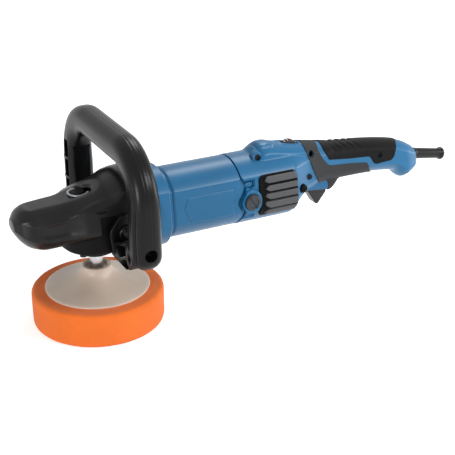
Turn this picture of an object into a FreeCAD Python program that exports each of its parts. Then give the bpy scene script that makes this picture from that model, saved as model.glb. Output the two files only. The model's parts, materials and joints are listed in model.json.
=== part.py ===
import FreeCAD, Part
import math
import os
import types

import Sketcher

# Rotary polisher. Frame: +X towards the rear grip, +Z up, origin at the centre of the pad's working face, on the
# spindle axis. The motor axis runs along X above it. All lengths are in millimetres.

V = FreeCAD.Vector
doc = FreeCAD.newDocument("RotaryPolisher")

# Driving dimensions: alias and value. Heights called rise and drop are measured from the motor axis.
DIMS = [
    # clearances
    ("gap", 0.3),
    ("running", 0.08),
    ("air_gap", 0.9),
    ("ball_gap", 0.3),
    ("backlash", 0.6),
    # foam pad and backing plate
    ("pad_radius", 75),
    ("pad_thick", 40),
    ("pad_round", 5),
    ("pad_recess_radius", 16),
    ("pad_recess_depth", 15),
    ("plate_radius", 59),
    ("plate_edge", 2.4),
    ("plate_rise", 27),
    ("hub_radius", 16.5),
    ("hub_recess_radius", 12.8),
    ("hub_recess_depth", 4),
    ("insert_radius", 11),
    ("insert_flange_radius", 15),
    ("insert_flange", 2),
    ("thread_radius", 7),
    # spindle
    ("spindle_radius", 7.2),
    ("spindle_free", 22),
    ("gear_seat_radius", 7),
    ("spindle_top_radius", 6),
    # bearings: bore radius, outside radius, width
    ("lower_bore", 7.5),
    ("lower_outside", 17.5),
    ("lower_width", 11),
    ("upper_bore", 4),
    ("upper_outside", 11),
    ("upper_width", 7),
    ("counter_bore", 3.5),
    ("counter_outside", 9.5),
    ("counter_width", 6),
    ("front_bore", 6),
    ("front_outside", 16),
    ("front_width", 10),
    ("rear_bore", 4),
    ("rear_outside", 11),
    ("rear_width", 7),
    ("race_share", 0.3),
    ("balls", 7),
    # gear train
    ("spur_module", 1.25),
    ("gear_teeth", 37),
    ("pinion_teeth", 12),
    ("gear_width", 10),
    ("gear_floor_gap", 0.8),
    ("gear_room", 3.5),
    ("gear_headroom", 1.5),
    ("bevel_room", 2.2),
    ("counter_radius", 4),
    ("bevel_module", 1.5),
    ("bevel_teeth", 27),
    ("bevel_pinion_teeth", 9),
    ("bevel_face", 7),
    ("bevel_back", 15),
    ("bevel_hub_radius", 14),
    ("pinion_hub", 3),
    ("lock_holes", 8),
    ("lock_circle", 17),
    # gear case
    ("case_floor_lift", 13),
    ("motor_lift", 28),
    ("case_radius", 39),
    ("case_height", 48),
    ("case_wall", 4),
    ("cover_plate", 4),
    ("cover_boss_radius", 20.5),
    ("seal_radius", 11),
    ("seal_thick", 1.5),
    ("neck_front_radius", 30),
    ("neck_radius", 41),
    ("flange_x", 60),
    ("case_flange", 7),
    ("case_flange_radius", 47),
    ("cover_screw_circle", 31.5),
    ("cover_bevel", 3),
    ("cover_screw_radius", 2),
    ("screw_head_radius", 4),
    ("screw_head", 3),
    ("cover_screw_length", 12),
    ("housing_screw_circle", 42.5),
    ("housing_screw_radius", 2.2),
    ("housing_screw_length", 16),
    # spindle lock
    ("lock_pin_radius", 3),
    ("lock_travel", 5),
    ("lock_lift", 2.2),
    ("lock_cap_radius", 7.5),
    ("lock_cap", 6),
    ("lock_spring_radius", 4.7),
    ("lock_spring_wire", 0.5),
    ("lock_spring_pocket", 6),
    # loop handle
    ("hoop_x", 19.5),
    ("hoop_half", 98),
    ("hoop_tube", 16.3),
    ("hoop_tube_round", 12),
    ("hoop_rise", 92),
    ("hoop_corner", 50),
    ("hoop_drop", 33.5),
    ("ear_gap", 0.3),
    ("ear_thick", 5.5),
    ("ear_stand", 5.2),
    ("ear_screw_drop", 5),
    ("ear_screw_radius", 4),
    ("ear_screw_head_radius", 6.5),
    ("ear_screw_head", 8),
    ("ear_screw_depth", 15),
    ("ear_boss_radius", 11),
    ("ear_pad", 3),
    ("ear_pad_rim", 3.5),
    ("foot_inset", 0.4),
    ("toe_hook", 4.5),
    ("access_radius", 7),
    # motor housing
    ("barrel_radius", 41),
    ("barrel_flat", 36.5),
    ("flat_tilt", 8),
    ("flange_step", 6),
    ("flange_long", 15),
    ("groove_long", 6),
    ("groove_step", 1),
    ("barrel_long", 86),
    ("barrel_wall", 3),
    ("spigot_long", 34),
    ("web_thick", 9),
    # armature and stator
    ("shaft_radius", 6.5),
    ("shaft_front_radius", 2.4),
    ("core_start", 16),
    ("core_radius", 21.5),
    ("core_long", 50),
    ("core_slots", 12),
    ("slot_width", 3),
    ("slot_depth", 7),
    ("winding_radius", 17.5),
    ("winding_long", 9),
    ("brush_back", 10.5),
    ("commutator_radius", 13),
    ("commutator_long", 22),
    ("riser_step", 2),
    ("bar_groove", 0.6),
    ("nut_long", 2.8),
    ("fan_radius", 31),
    ("fan_hub_radius", 12),
    ("fan_plate", 2),
    ("fan_blade", 8),
    ("fan_blade_thick", 1.6),
    ("fan_blades", 13),
    ("fan_start", 8),
    ("baffle_eye", 26),
    ("baffle_thick", 2),
    ("coil_thick", 6),
    ("coil_turn", 6.5),
    ("coil_span", 156),
    ("coil_side", 24),
    # brushes
    ("brush_tilt", 5),
    ("brush_wide", 8),
    ("brush_tall", 6.2),
    ("brush_long", 14),
    ("holder_wall", 2),
    ("holder_start", 16),
    ("brush_spring_radius", 2.6),
    ("brush_spring_wire", 0.5),
    ("cap_radius", 9.5),
    ("cap_stub_radius", 6),
    ("cap_stub", 7),
    ("cap_thick", 3),
    ("cap_reach", 44.6),
    ("cap_slot", 2),
    # rear shells
    ("shell_gap", 1.2),
    ("shell_wall", 3),
    ("shell_proud", 0.6),
    ("engine_bay", 70),
    ("waist_back", 96),
    ("waist_half", 27),
    ("waist_rise", 39),
    ("waist_drop", 21),
    ("throat_back", 128),
    ("throat_half", 22.5),
    ("throat_rise", 36.3),
    ("throat_drop", 11),
    ("palm_back", 170),
    ("palm_half", 20.5),
    ("palm_rise", 32.2),
    ("palm_drop", 11.2),
    ("heel_back", 226),
    ("heel_half", 20),
    ("heel_rise", 23.8),
    ("heel_drop", 16),
    ("tail_back", 242),
    ("tail_half", 21),
    ("tail_rise", 19.2),
    ("tail_drop", 28),
    ("rump_back", 262),
    ("rump_half", 15),
    ("rump_rise", 8.5),
    ("rump_drop", 19),
    ("hump_base", 5),
    ("scarp_back", 20.3),
    ("scarp_half", 19),
    ("scarp_rise", 36.5),
    ("shoulder_back", 27.3),
    ("shoulder_half", 22),
    ("shoulder_rise", 45.5),
    ("ridge_back", 36),
    ("ridge_half", 24),
    ("ridge_rise", 50.8),
    ("crest_back", 45),
    ("crest_half", 24),
    ("crest_rise", 51.3),
    ("slope_back", 80),
    ("slope_half", 24),
    ("slope_rise", 44.7),
    ("fade_back", 130),
    ("fade_half", 20.5),
    ("fade_rise", 36),
    ("lip_half", 12.5),
    ("lip_seat", 4),
    ("lip_round", 3),
    ("lip_drop", 22.5),
    ("lip_front", 96),
    ("lip_back", 145),
    ("overmould", 1.2),
    # grille
    ("grille_start", 19),
    ("grille_long", 52),
    ("grille_high", 50),
    ("grille_proud", 5),
    ("grille_frame", 3),
    ("grille_bars", 5),
    ("grille_groove", 2.4),
    # controls
    ("trigger_pivot_back", 100),
    ("trigger_pivot_drop", 13),
    ("trigger_pin_radius", 1.5),
    ("trigger_half", 8),
    ("trigger_reach", 30),
    ("trigger_tip_drop", 27),
    ("trigger_spring_radius", 3),
    ("trigger_spring_wire", 0.4),
    ("lock_on_back", 81),
    ("lock_on_drop", 3),
    ("lock_on_radius", 5),
    ("lock_on_reach", 37),
    ("lock_on_long", 14),
    ("dial_back", 79),
    ("dial_rise", 37),
    ("dial_radius", 11),
    ("dial_half", 4.5),
    ("dial_axle_radius", 2),
    ("dial_notches", 20),
    ("switch_lift", 8.5),
    ("switch_half", 9),
    ("switch_long", 30),
    ("switch_high", 20),
    ("module_back", 140),
    ("module_long", 44),
    ("module_half", 12),
    ("module_high", 16),
    # shell screws
    ("post_radius", 4.5),
    ("shell_screw_radius", 1.8),
    ("shell_screw_head_radius", 3.6),
    ("shell_screw_head", 2.6),
    ("brow_post_back", 27.8),
    ("brow_post_rise", 40),
    ("brow_post_reach", 17.5),
    ("saddle_post_back", 99),
    ("saddle_post_rise", 32.6),
    ("saddle_post_reach", 15),
    ("flank_post_back", 93),
    ("flank_post_rise", 7),
    ("flank_post_reach", 28),
    ("grip_post_back", 198.3),
    ("grip_post_rise", 13.2),
    ("grip_post_reach", 17),
    ("end_post_back", 246),
    ("end_post_rise", -21),
    ("end_post_reach", 10),
    # cord entry
    ("guard_slope", 9.7),
    ("guard_radius", 7),
    ("guard_bulb", 8),
    ("guard_bore", 4),
    ("guard_reach", 49),
    ("guard_root", 16),
    ("guard_flange_radius", 10),
    ("guard_flange", 4),
    ("guard_seat", 4),
    ("guard_drop", 1.6),
    # gear hood
    ("hood_wall", 3.2),
    ("tip_x", -92.5),
    ("tip_half", 11),
    ("tip_rise", 13.5),
    ("tip_drop", 0),
    ("snout_x", -86),
    ("snout_half", 21),
    ("snout_rise", 22.5),
    ("snout_drop", 11),
    ("bill_x", -75),
    ("bill_half", 27),
    ("bill_rise", 27.5),
    ("bill_drop", 21),
    ("cheek_x", -59),
    ("cheek_half", 28.5),
    ("cheek_rise", 29),
    ("cheek_drop", 26),
    ("brow_x", -41),
    ("brow_half", 30),
    ("brow_rise", 30),
    ("brow_drop", 25.5),
    ("crown_x", -20),
    ("crown_rise", 34),
    ("nape_x", 8),
    ("nape_over", 4),
    ("nape_rise", 41),
    ("neck_x", 28),
    ("neck_half", 46),
    ("neck_rise", 51),
    ("collar_half", 48),
    ("collar_rise", 52),
    ("hood_drop", 25),
    ("skirt_drop", 4),
    ("skirt_back", 7),
    ("ear_clear_rise", 14),
    ("collar_x", 46),
    ("arrow_thick", 1),
    ("arrow_radius", 12),
    ("arrow_band", 2.4),
    ("window_rise", 31),
]


class Size:
    """A dimension of the sheet or a formula of such: its number now and the expression that follows the sheet."""

    def __init__(self, number, text):
        self.number = number
        self.text = text

    def __float__(self):
        return self.number

    def __add__(self, other):
        return Size(self.number + float(other), "(%s + %s)" % (self.text, text_of(other)))

    __radd__ = __add__

    def __sub__(self, other):
        return Size(self.number - float(other), "(%s - %s)" % (self.text, text_of(other)))

    def __rsub__(self, other):
        return Size(float(other) - self.number, "(%s - %s)" % (text_of(other), self.text))

    def __mul__(self, other):
        return Size(self.number * float(other), "%s * %s" % (self.text, text_of(other)))

    __rmul__ = __mul__

    def __truediv__(self, other):
        return Size(self.number / float(other), "%s / %s" % (self.text, text_of(other)))

    def __neg__(self):
        return Size(-self.number, "(0 - %s)" % self.text)


def text_of(size):
    return size.text if isinstance(size, Size) else "(%.9f)" % float(size)


def make_sheet():
    sheet = doc.addObject("Spreadsheet::Sheet", "Dims")
    for row, (alias, value) in enumerate(DIMS, 1):
        sheet.set("A%d" % row, alias)
        sheet.set("B%d" % row, str(value))
        sheet.setAlias("B%d" % row, alias)
    doc.recompute()
    return types.SimpleNamespace(**{alias: Size(float(sheet.get(alias)), "Dims." + alias) for alias, _ in DIMS})


d = make_sheet()

# ---------------------------------------------------------------------------------------------- building helpers

NODES = {}
ALONG = {
    "X": FreeCAD.Rotation(V(0, 1, 0), 90),
    "Y": FreeCAD.Rotation(V(1, 0, 0), -90),
    "Z": FreeCAD.Rotation(),
}


def place(item, at, turn=None):
    item.Placement = FreeCAD.Placement(V(), turn or FreeCAD.Rotation())
    for letter, size in zip("xyz", at):
        item.setExpression("Placement.Base." + letter, text_of(size))
    return item


def node(label, item):
    """Makes an object a sub-part of the product, under the name of its file."""
    item.Label = label
    NODES[label] = item
    return item


def part(kind, at=(0, 0, 0), turn=None, **sizes):
    item = doc.addObject("Part::" + kind, kind)
    for name, size in sizes.items():
        item.setExpression(name, text_of(size))
    return place(item, at, turn)


def rod(radius, length, at, along="Z"):
    return part("Cylinder", at, ALONG[along], Radius=radius, Height=length)


def block(low, high):
    long, wide, tall = (b - a for a, b in zip(low, high))
    return part("Box", low, None, Length=long, Width=wide, Height=tall)


def joined(*items):
    fuse = doc.addObject("Part::MultiFuse", "Fuse")
    fuse.Shapes = list(items)
    return fuse


def grouped(*items):
    compound = doc.addObject("Part::Compound", "Group")
    compound.Links = list(items)
    return compound


def cut(base, *tools):
    cutting = doc.addObject("Part::Cut", "Cut")
    cutting.Base = base
    cutting.Tool = tools[0] if len(tools) == 1 else joined(*tools)
    return cutting


def shared(first, second):
    common = doc.addObject("Part::MultiCommon", "Common")
    common.Shapes = [first, second]
    return common


def tube(outside, inside, length, at, along="Z"):
    return cut(rod(outside, length, at, along), rod(inside, length, at, along))


def freeform(label, shape, at=(0, 0, 0)):
    item = doc.addObject("Part::Feature", label)
    item.Shape = shape
    place(item, at)
    return item


def body_plane(body, role):
    return next(plane for plane in body.Origin.OriginFeatures if plane.Role == role)


def outline_sketch(body, plane, points):
    """A closed sketch of straight sides on one of the body's planes, each corner held by two bound distances."""
    sketch = body.newObject("Sketcher::SketchObject", "Outline")
    sketch.AttachmentSupport = [(body_plane(body, plane), "")]
    sketch.MapMode = "FlatFace"
    corners = [V(float(x), float(y), 0) for x, y in points]
    count = len(points)
    for n in range(count):
        sketch.addGeometry(Part.LineSegment(corners[n], corners[(n + 1) % count]), False)
    for n in range(count):
        sketch.addConstraint(Sketcher.Constraint("Coincident", n, 2, (n + 1) % count, 1))
    for n, point in enumerate(points):
        for kind, size in zip(("DistanceX", "DistanceY"), point):
            index = sketch.addConstraint(Sketcher.Constraint(kind, n, 1, float(size)))
            sketch.setExpression("Constraints[%d]" % index, text_of(size))
    return sketch


def turned(points, at=(0, 0, 0), along="Z"):
    """A lathe body. Each point is the distance along its axis and the radius there."""
    body = doc.addObject("PartDesign::Body", "Turned")
    sketch = outline_sketch(body, "XZ_Plane", [(radius, height) for height, radius in points])
    revolution = body.newObject("PartDesign::Revolution", "Revolution")
    revolution.Profile = sketch
    revolution.ReferenceAxis = (sketch, ["V_Axis"])
    revolution.Angle = 360
    return place(body, at, ALONG[along])


def stepped(steps):
    """The lathe profile of a solid shaft, from its lengths of one radius each."""
    points = [(steps[0][0], 0)]
    for low, high, radius in steps:
        points += [(low, radius), (high, radius)]
    return points + [(steps[-1][1], 0)]


def sawn(points, plane, thick, at=(0, 0, 0)):
    """A body of constant thickness, centred on its sketch plane."""
    body = doc.addObject("PartDesign::Body", "Sawn")
    pad = body.newObject("PartDesign::Pad", "Pad")
    pad.Profile = outline_sketch(body, plane, points)
    pad.SideType = "Symmetric"
    pad.setExpression("Length", text_of(thick))
    return place(body, at)


def repeated(body, kind, points, count, low, high):
    """Adds (Pad) or cuts (Pocket) one outline between two heights of the body's own axis, and repeats it round."""
    sketch = outline_sketch(body, "XY_Plane", points)
    sketch.setExpression("AttachmentOffset.Base.z", text_of(low if kind == "Pad" else high))
    feature = body.newObject("PartDesign::" + kind, kind)
    feature.Profile = sketch
    feature.setExpression("Length", text_of(high - low))
    pattern = body.newObject("PartDesign::PolarPattern", "PolarPattern")
    pattern.Originals = [feature]
    pattern.Axis = (sketch, ["N_Axis"])
    pattern.Angle = 360
    pattern.setExpression("Occurrences", text_of(count))
    body.Tip = pattern
    return body


def rounded(body, radius, chosen):
    doc.recompute()
    base = body.Tip
    fillet = body.newObject("PartDesign::Fillet", "Fillet")
    fillet.Base = (base, ["Edge%d" % n for n, edge in enumerate(base.Shape.Edges, 1) if chosen(edge)])
    fillet.setExpression("Radius", text_of(radius))
    return body


def round_edge(radius):
    """Picks the circular edges of one radius."""
    return lambda edge: isinstance(edge.Curve, Part.Circle) and abs(edge.Curve.Radius - float(radius)) < 1e-3


def ring_points(radius, count, start=0.0):
    """Places on a circle, as pairs of sizes."""
    steps = [start + 2 * math.pi * n / count for n in range(count)]
    return [(radius * math.cos(angle), radius * math.sin(angle)) for angle in steps]


def spring(radius, wire, height, turns, at, along="Z"):
    """A closed helical wire solid standing on its foot."""
    coil, thread = float(radius), float(wire)
    seat = 0.02
    rise = float(height) - 2 * (thread + seat)
    helix = Part.makeHelix(rise / turns, rise, coil)
    section = Part.Wire(Part.makeCircle(thread, V(coil, 0, 0), V(0, 1, 0)))
    solid = Part.Wire(helix.Edges).makePipeShell([section], True, True)
    solid.translate(V(0, 0, thread + seat))
    item = freeform("Spring", Part.makeCompound([solid]))
    return place(item, at, ALONG[along])


# ------------------------------------------------------------------------------- heights and places worked out

pad_top = d.pad_thick
insert_top = pad_top + d.plate_rise - d.hub_recess_depth
cover_bottom = insert_top + d.spindle_free
case_floor = cover_bottom + d.case_floor_lift
motor_z = case_floor + d.motor_lift
case_top = case_floor + d.case_height
gear_low = case_floor + d.gear_floor_gap
gear_high = gear_low + d.gear_width
counter_x = (d.gear_teeth + d.pinion_teeth) * d.spur_module / 2
bevel_radius = d.bevel_teeth * d.bevel_module / 2
bevel_pinion_radius = d.bevel_pinion_teeth * d.bevel_module / 2
pinion_back = counter_x + bevel_radius + d.pinion_hub
front_bearing_x = pinion_back + 0.2
boss_end_x = front_bearing_x + d.front_width + 2
barrel_x = d.flange_x + d.flange_long + d.groove_long
joint_x = barrel_x + d.barrel_long
core_x = barrel_x + d.core_start
brush_x = joint_x + d.brush_back
spigot_end = joint_x + d.spigot_long
rear_bearing_x = spigot_end - d.rear_width - 1
lower_bearing_z = cover_bottom + d.seal_thick
counter_low_z = case_floor - d.counter_width - 1
counter_high_z = case_top - d.case_wall - d.counter_width
upper_bearing_z = motor_z
shell_x = joint_x + d.shell_gap


def tooth_points(module, teeth, backlash, lean):
    """One gear tooth, straight-sided above and below the pitch line, with its foot sunk into the root circle."""
    pitch = teeth * module / 2
    half = module * math.pi / 4 - backlash / 4
    add, dedendum = module * 0.8, module * 1.05
    foot, tip = pitch - dedendum - 0.5, pitch + add
    half_foot, half_tip = half + (dedendum + 0.5) * 0.22, half - add * lean
    return [(foot, -half_foot), (pitch, -half), (tip, -half_tip), (tip, half_tip), (pitch, half), (foot, half_foot)]


def spur_gear(teeth, bore, low, high, lean, at):
    root = teeth * d.spur_module / 2 - d.spur_module * 1.05
    gear = turned([(low, bore), (low, root), (high, root), (high, bore)], at)
    return repeated(gear, "Pad", tooth_points(d.spur_module, teeth, d.backlash, lean), teeth, low, high)


def bevel_shape(teeth, pitch, height, bore, back, hub):
    """A straight bevel gear with its apex at the origin, opening towards -Z."""
    slope = math.atan2(pitch, height)
    cone = math.hypot(pitch, height)
    module = 2 * pitch / teeth
    small = 1 - float(d.bevel_face) / cone
    add, dedendum = module * 0.75, module * 0.95
    half = module * math.pi / 4 - float(d.backlash) / 4
    at_pitch = V(pitch, 0, -height)
    outward = V(math.cos(slope), 0, math.sin(slope))
    root = at_pitch - outward * dedendum
    profile = [root, root * small, V(bore, 0, root.z * small), V(bore, 0, -back), V(hub, 0, -back)]
    blank = Part.Face(Part.makePolygon(profile + profile[:1])).revolve(V(), V(0, 0, 1), 360)
    levels = ((-dedendum - 0.25, half + dedendum * 0.25), (0, half), (add, half - add * 0.42))
    side = [at_pitch + outward * rise + V(0, width, 0) for rise, width in levels]
    large = side + [V(p.x, -p.y, p.z) for p in reversed(side)]
    wires = [Part.makePolygon([p * scale for p in large + large[:1]]) for scale in (1.0, small)]
    tooth = Part.makeLoft(wires, True, True)
    turns = [tooth.copy() for _ in range(int(teeth))]
    for n, copy in enumerate(turns):
        copy.rotate(V(), V(0, 0, 1), 360 * n / teeth)
    return blank.fuse(turns).removeSplitter()


def bearing(bore, outside, width, at, along):
    """The inner ring, the outer ring and the balls of one bearing, from the face where it starts."""
    race = (outside - bore) * d.race_share
    inner = tube(bore + race, bore, width, at, along)
    outer = tube(outside, outside - race, width, at, along)
    middle = (bore + outside) / 2
    ball = (outside - bore - race * 2) / 2 - d.ball_gap
    balls = []
    for across, up in ring_points(middle, int(float(d.balls))):
        offset = (width / 2, across, up) if along == "X" else (across, up, width / 2)
        balls.append(part("Sphere", tuple(a + b for a, b in zip(at, offset)), Radius=ball))
    return inner, outer, balls


# ------------------------------------------------------------------------------------------- pad and spindle


def foam_pad():
    pad = turned([
        (0, 0),
        (0, d.pad_radius),
        (pad_top, d.pad_radius),
        (pad_top, d.pad_recess_radius),
        (pad_top - d.pad_recess_depth, d.pad_recess_radius),
        (pad_top - d.pad_recess_depth, 0),
    ])
    node("foam_pad", rounded(pad, d.pad_round, round_edge(d.pad_radius)))


def backing_plate():
    edge_z = pad_top + d.plate_edge
    hub_z = pad_top + d.plate_rise
    span, climb = d.plate_radius - d.hub_radius, hub_z - edge_z
    bell = [(edge_z + climb * t, d.hub_radius + span * (1 - t) ** 2.6) for t in (0, 0.1, 0.22, 0.36, 0.52, 0.7, 1)]
    plate = turned(
        [(pad_top, d.insert_radius), (pad_top, d.plate_radius)]
        + bell
        + [(hub_z, d.hub_recess_radius), (insert_top, d.hub_recess_radius), (insert_top, d.insert_radius)]
    )
    node("backing_plate", plate)


def pad_insert():
    insert = turned([
        (pad_top - d.insert_flange, d.thread_radius),
        (pad_top - d.insert_flange, d.insert_flange_radius),
        (pad_top, d.insert_flange_radius),
        (pad_top, d.insert_radius),
        (insert_top, d.insert_radius),
        (insert_top, d.thread_radius),
    ])
    node("pad_insert", insert)


def spindle():
    steps = [
        (pad_top - d.insert_flange, insert_top, d.thread_radius),
        (insert_top, lower_bearing_z, d.spindle_radius),
        (lower_bearing_z, gear_low, d.lower_bore),
        (gear_low, gear_high, d.gear_seat_radius),
        (gear_high, upper_bearing_z, d.spindle_top_radius),
        (upper_bearing_z, upper_bearing_z + d.upper_width, d.upper_bore),
    ]
    node("spindle", turned(stepped(steps)))


def spindle_gear():
    gear = spur_gear(d.gear_teeth, d.gear_seat_radius, gear_low, gear_high, 0.36, (0, 0, 0))
    holes = [
        rod(d.lock_pin_radius + d.gap, d.gear_width, (x, y, gear_low))
        for x, y in ring_points(d.lock_circle, int(float(d.lock_holes)))
    ]
    node("spindle_gear", cut(gear, *holes))


# -------------------------------------------------------------------------------------------- countershaft


def countershaft():
    steps = [
        (counter_low_z, counter_low_z + d.counter_width, d.counter_bore),
        (counter_low_z + d.counter_width, gear_low, d.counter_radius + 0.6),
        (gear_low, counter_high_z, d.counter_radius),
        (counter_high_z, counter_high_z + d.counter_width, d.counter_bore),
    ]
    node("countershaft", turned(stepped(steps), (counter_x, 0, 0)))


def spur_pinion():
    pinion = spur_gear(d.pinion_teeth, d.counter_radius, gear_low, gear_high + 0.5, 0.5, (counter_x, 0, 0))
    pinion.Placement = FreeCAD.Placement(V(), FreeCAD.Rotation(V(0, 0, 1), 180 / float(d.pinion_teeth)))
    node("spur_pinion", pinion)


def bevel_gear():
    shape = bevel_shape(
        float(d.bevel_teeth), float(bevel_radius), float(bevel_pinion_radius),
        float(d.counter_radius), float(d.bevel_back), float(d.bevel_hub_radius),
    )
    node("bevel_gear", freeform("BevelGear", shape, (counter_x, 0, motor_z)))


# ------------------------------------------------------------------------------------------------- armature


def armature_shaft():
    nose = counter_x + bevel_radius * 0.5
    steps = [
        (nose, pinion_back, d.shaft_front_radius),
        (pinion_back, front_bearing_x + d.front_width, d.front_bore),
        (front_bearing_x + d.front_width, rear_bearing_x, d.shaft_radius),
        (rear_bearing_x, rear_bearing_x + d.rear_width, d.rear_bore),
    ]
    node("armature_shaft", turned(stepped(steps), (0, 0, motor_z), "X"))


def bevel_pinion():
    shape = bevel_shape(
        float(d.bevel_pinion_teeth), float(bevel_pinion_radius), float(bevel_radius),
        float(d.shaft_front_radius), float(pinion_back - counter_x), float(bevel_pinion_radius) - 0.6,
    )
    item = freeform("BevelPinion", shape)
    node("bevel_pinion", place(item, (counter_x, 0, motor_z), FreeCAD.Rotation(V(0, 1, 0), -90)))


def pinion_nut():
    start = counter_x + bevel_radius * 0.5 + 0.2
    nut = part("Prism", (start, 0, motor_z), ALONG["X"], Circumradius=d.shaft_front_radius + 2, Height=d.nut_long)
    node("pinion_nut", cut(nut, rod(d.shaft_front_radius, d.nut_long, (start, 0, motor_z), "X")))


def armature_core():
    end = core_x + d.core_long
    core = turned([(core_x, d.shaft_radius), (core_x, d.core_radius), (end, d.core_radius), (end, d.shaft_radius)],
                  (0, 0, motor_z), "X")
    half, deep = d.slot_width / 2, d.core_radius - d.slot_depth
    slot = [(deep, -half), (d.core_radius + 1, -half), (d.core_radius + 1, half), (deep, half)]
    node("armature_core", repeated(core, "Pocket", slot, d.core_slots, core_x, end))


def armature_windings():
    rings = [
        tube(d.winding_radius, d.shaft_radius, d.winding_long, (x, 0, motor_z), "X")
        for x in (core_x - d.winding_long, core_x + d.core_long)
    ]
    wire = d.slot_width / 2 - 0.4
    bars = [
        rod(wire, d.core_long + 2, (core_x - 1, y, motor_z - z), "X")
        for z, y in ring_points(d.winding_radius - wire - 0.4, int(float(d.core_slots)))
    ]
    node("armature_windings", joined(*rings, *bars))


def commutator():
    start = brush_x - d.commutator_long / 2
    end = start + d.commutator_long
    riser = d.commutator_radius + d.riser_step
    ring = turned([
        (start, d.shaft_radius), (start, riser), (start + d.riser_step, riser),
        (start + d.riser_step, d.commutator_radius), (end, d.commutator_radius), (end, d.shaft_radius),
    ], (0, 0, motor_z), "X")
    half, deep = d.bar_groove / 2, d.commutator_radius - 1
    groove = [(deep, -half), (riser + 1, -half), (riser + 1, half), (deep, half)]
    node("commutator", repeated(ring, "Pocket", groove, d.core_slots * 2, start, end))


def cooling_fan():
    start = d.flange_x + d.fan_start
    face, end = start + d.fan_plate, start + d.fan_plate + d.fan_blade
    fan = turned([
        (start, d.shaft_radius), (start, d.fan_radius), (face, d.fan_radius), (face, d.fan_hub_radius),
        (end, d.fan_hub_radius), (end, d.shaft_radius),
    ], (0, 0, motor_z), "X")
    half, tip = d.fan_blade_thick / 2, d.fan_radius - 1
    blade = [(d.fan_hub_radius - 1, -half), (tip, -half), (tip, half), (d.fan_hub_radius - 1, half)]
    node("cooling_fan", repeated(fan, "Pad", blade, d.fan_blades, face - 0.2, end))


def bearings():
    """All six ball bearings. Inner rings turn with their shafts; outer rings and balls stay with the gear head."""
    rows = {
        "spindle": [
            bearing(d.lower_bore, d.lower_outside, d.lower_width, (0, 0, lower_bearing_z), "Z"),
            bearing(d.upper_bore, d.upper_outside, d.upper_width, (0, 0, upper_bearing_z), "Z"),
        ],
        "countershaft": [
            bearing(d.counter_bore, d.counter_outside, d.counter_width, (counter_x, 0, z), "Z")
            for z in (counter_low_z, counter_high_z)
        ],
        "armature": [
            bearing(d.front_bore, d.front_outside, d.front_width, (front_bearing_x, 0, motor_z), "X"),
            bearing(d.rear_bore, d.rear_outside, d.rear_width, (rear_bearing_x, 0, motor_z), "X"),
        ],
    }
    for shaft, pair in rows.items():
        node(shaft + "_bearing_inners", grouped(*(inner for inner, _, _ in pair)))
    every = [one for pair in rows.values() for one in pair]
    node("bearing_outer_rings", grouped(*(outer for _, outer, _ in every)))
    node("bearing_balls", grouped(*(ball for _, _, balls in every for ball in balls)))


# ------------------------------------------------------------------------------------------------ gear head

ear_z = motor_z - d.ear_screw_drop
ear_reach = d.case_radius + d.ear_stand
cap_low = case_top + d.lock_travel + 1.5
lock_x = -d.lock_circle


def axial_screws(radius, length, head_radius, head, places, along):
    """Cap screws pointing along an axis, from the faces that their heads sit on."""
    screws = []
    for x, y, z in places:
        if along == "X":
            head_at = (x - head, y, z)
        else:
            head_at = (x, y, z - head)
        screws.append(joined(rod(head_radius, head, head_at, along), rod(radius, length, (x, y, z), along)))
    return screws


def cover_screw_places():
    z = case_floor - d.cover_plate
    return [(x, y, z) for x, y in ring_points(d.cover_screw_circle, 4, math.pi / 4)]


def housing_screw_places():
    x = d.flange_x - d.case_flange
    return [(x, y, motor_z + z) for y, z in ring_points(d.housing_screw_circle, 4, math.pi / 4)]


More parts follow.
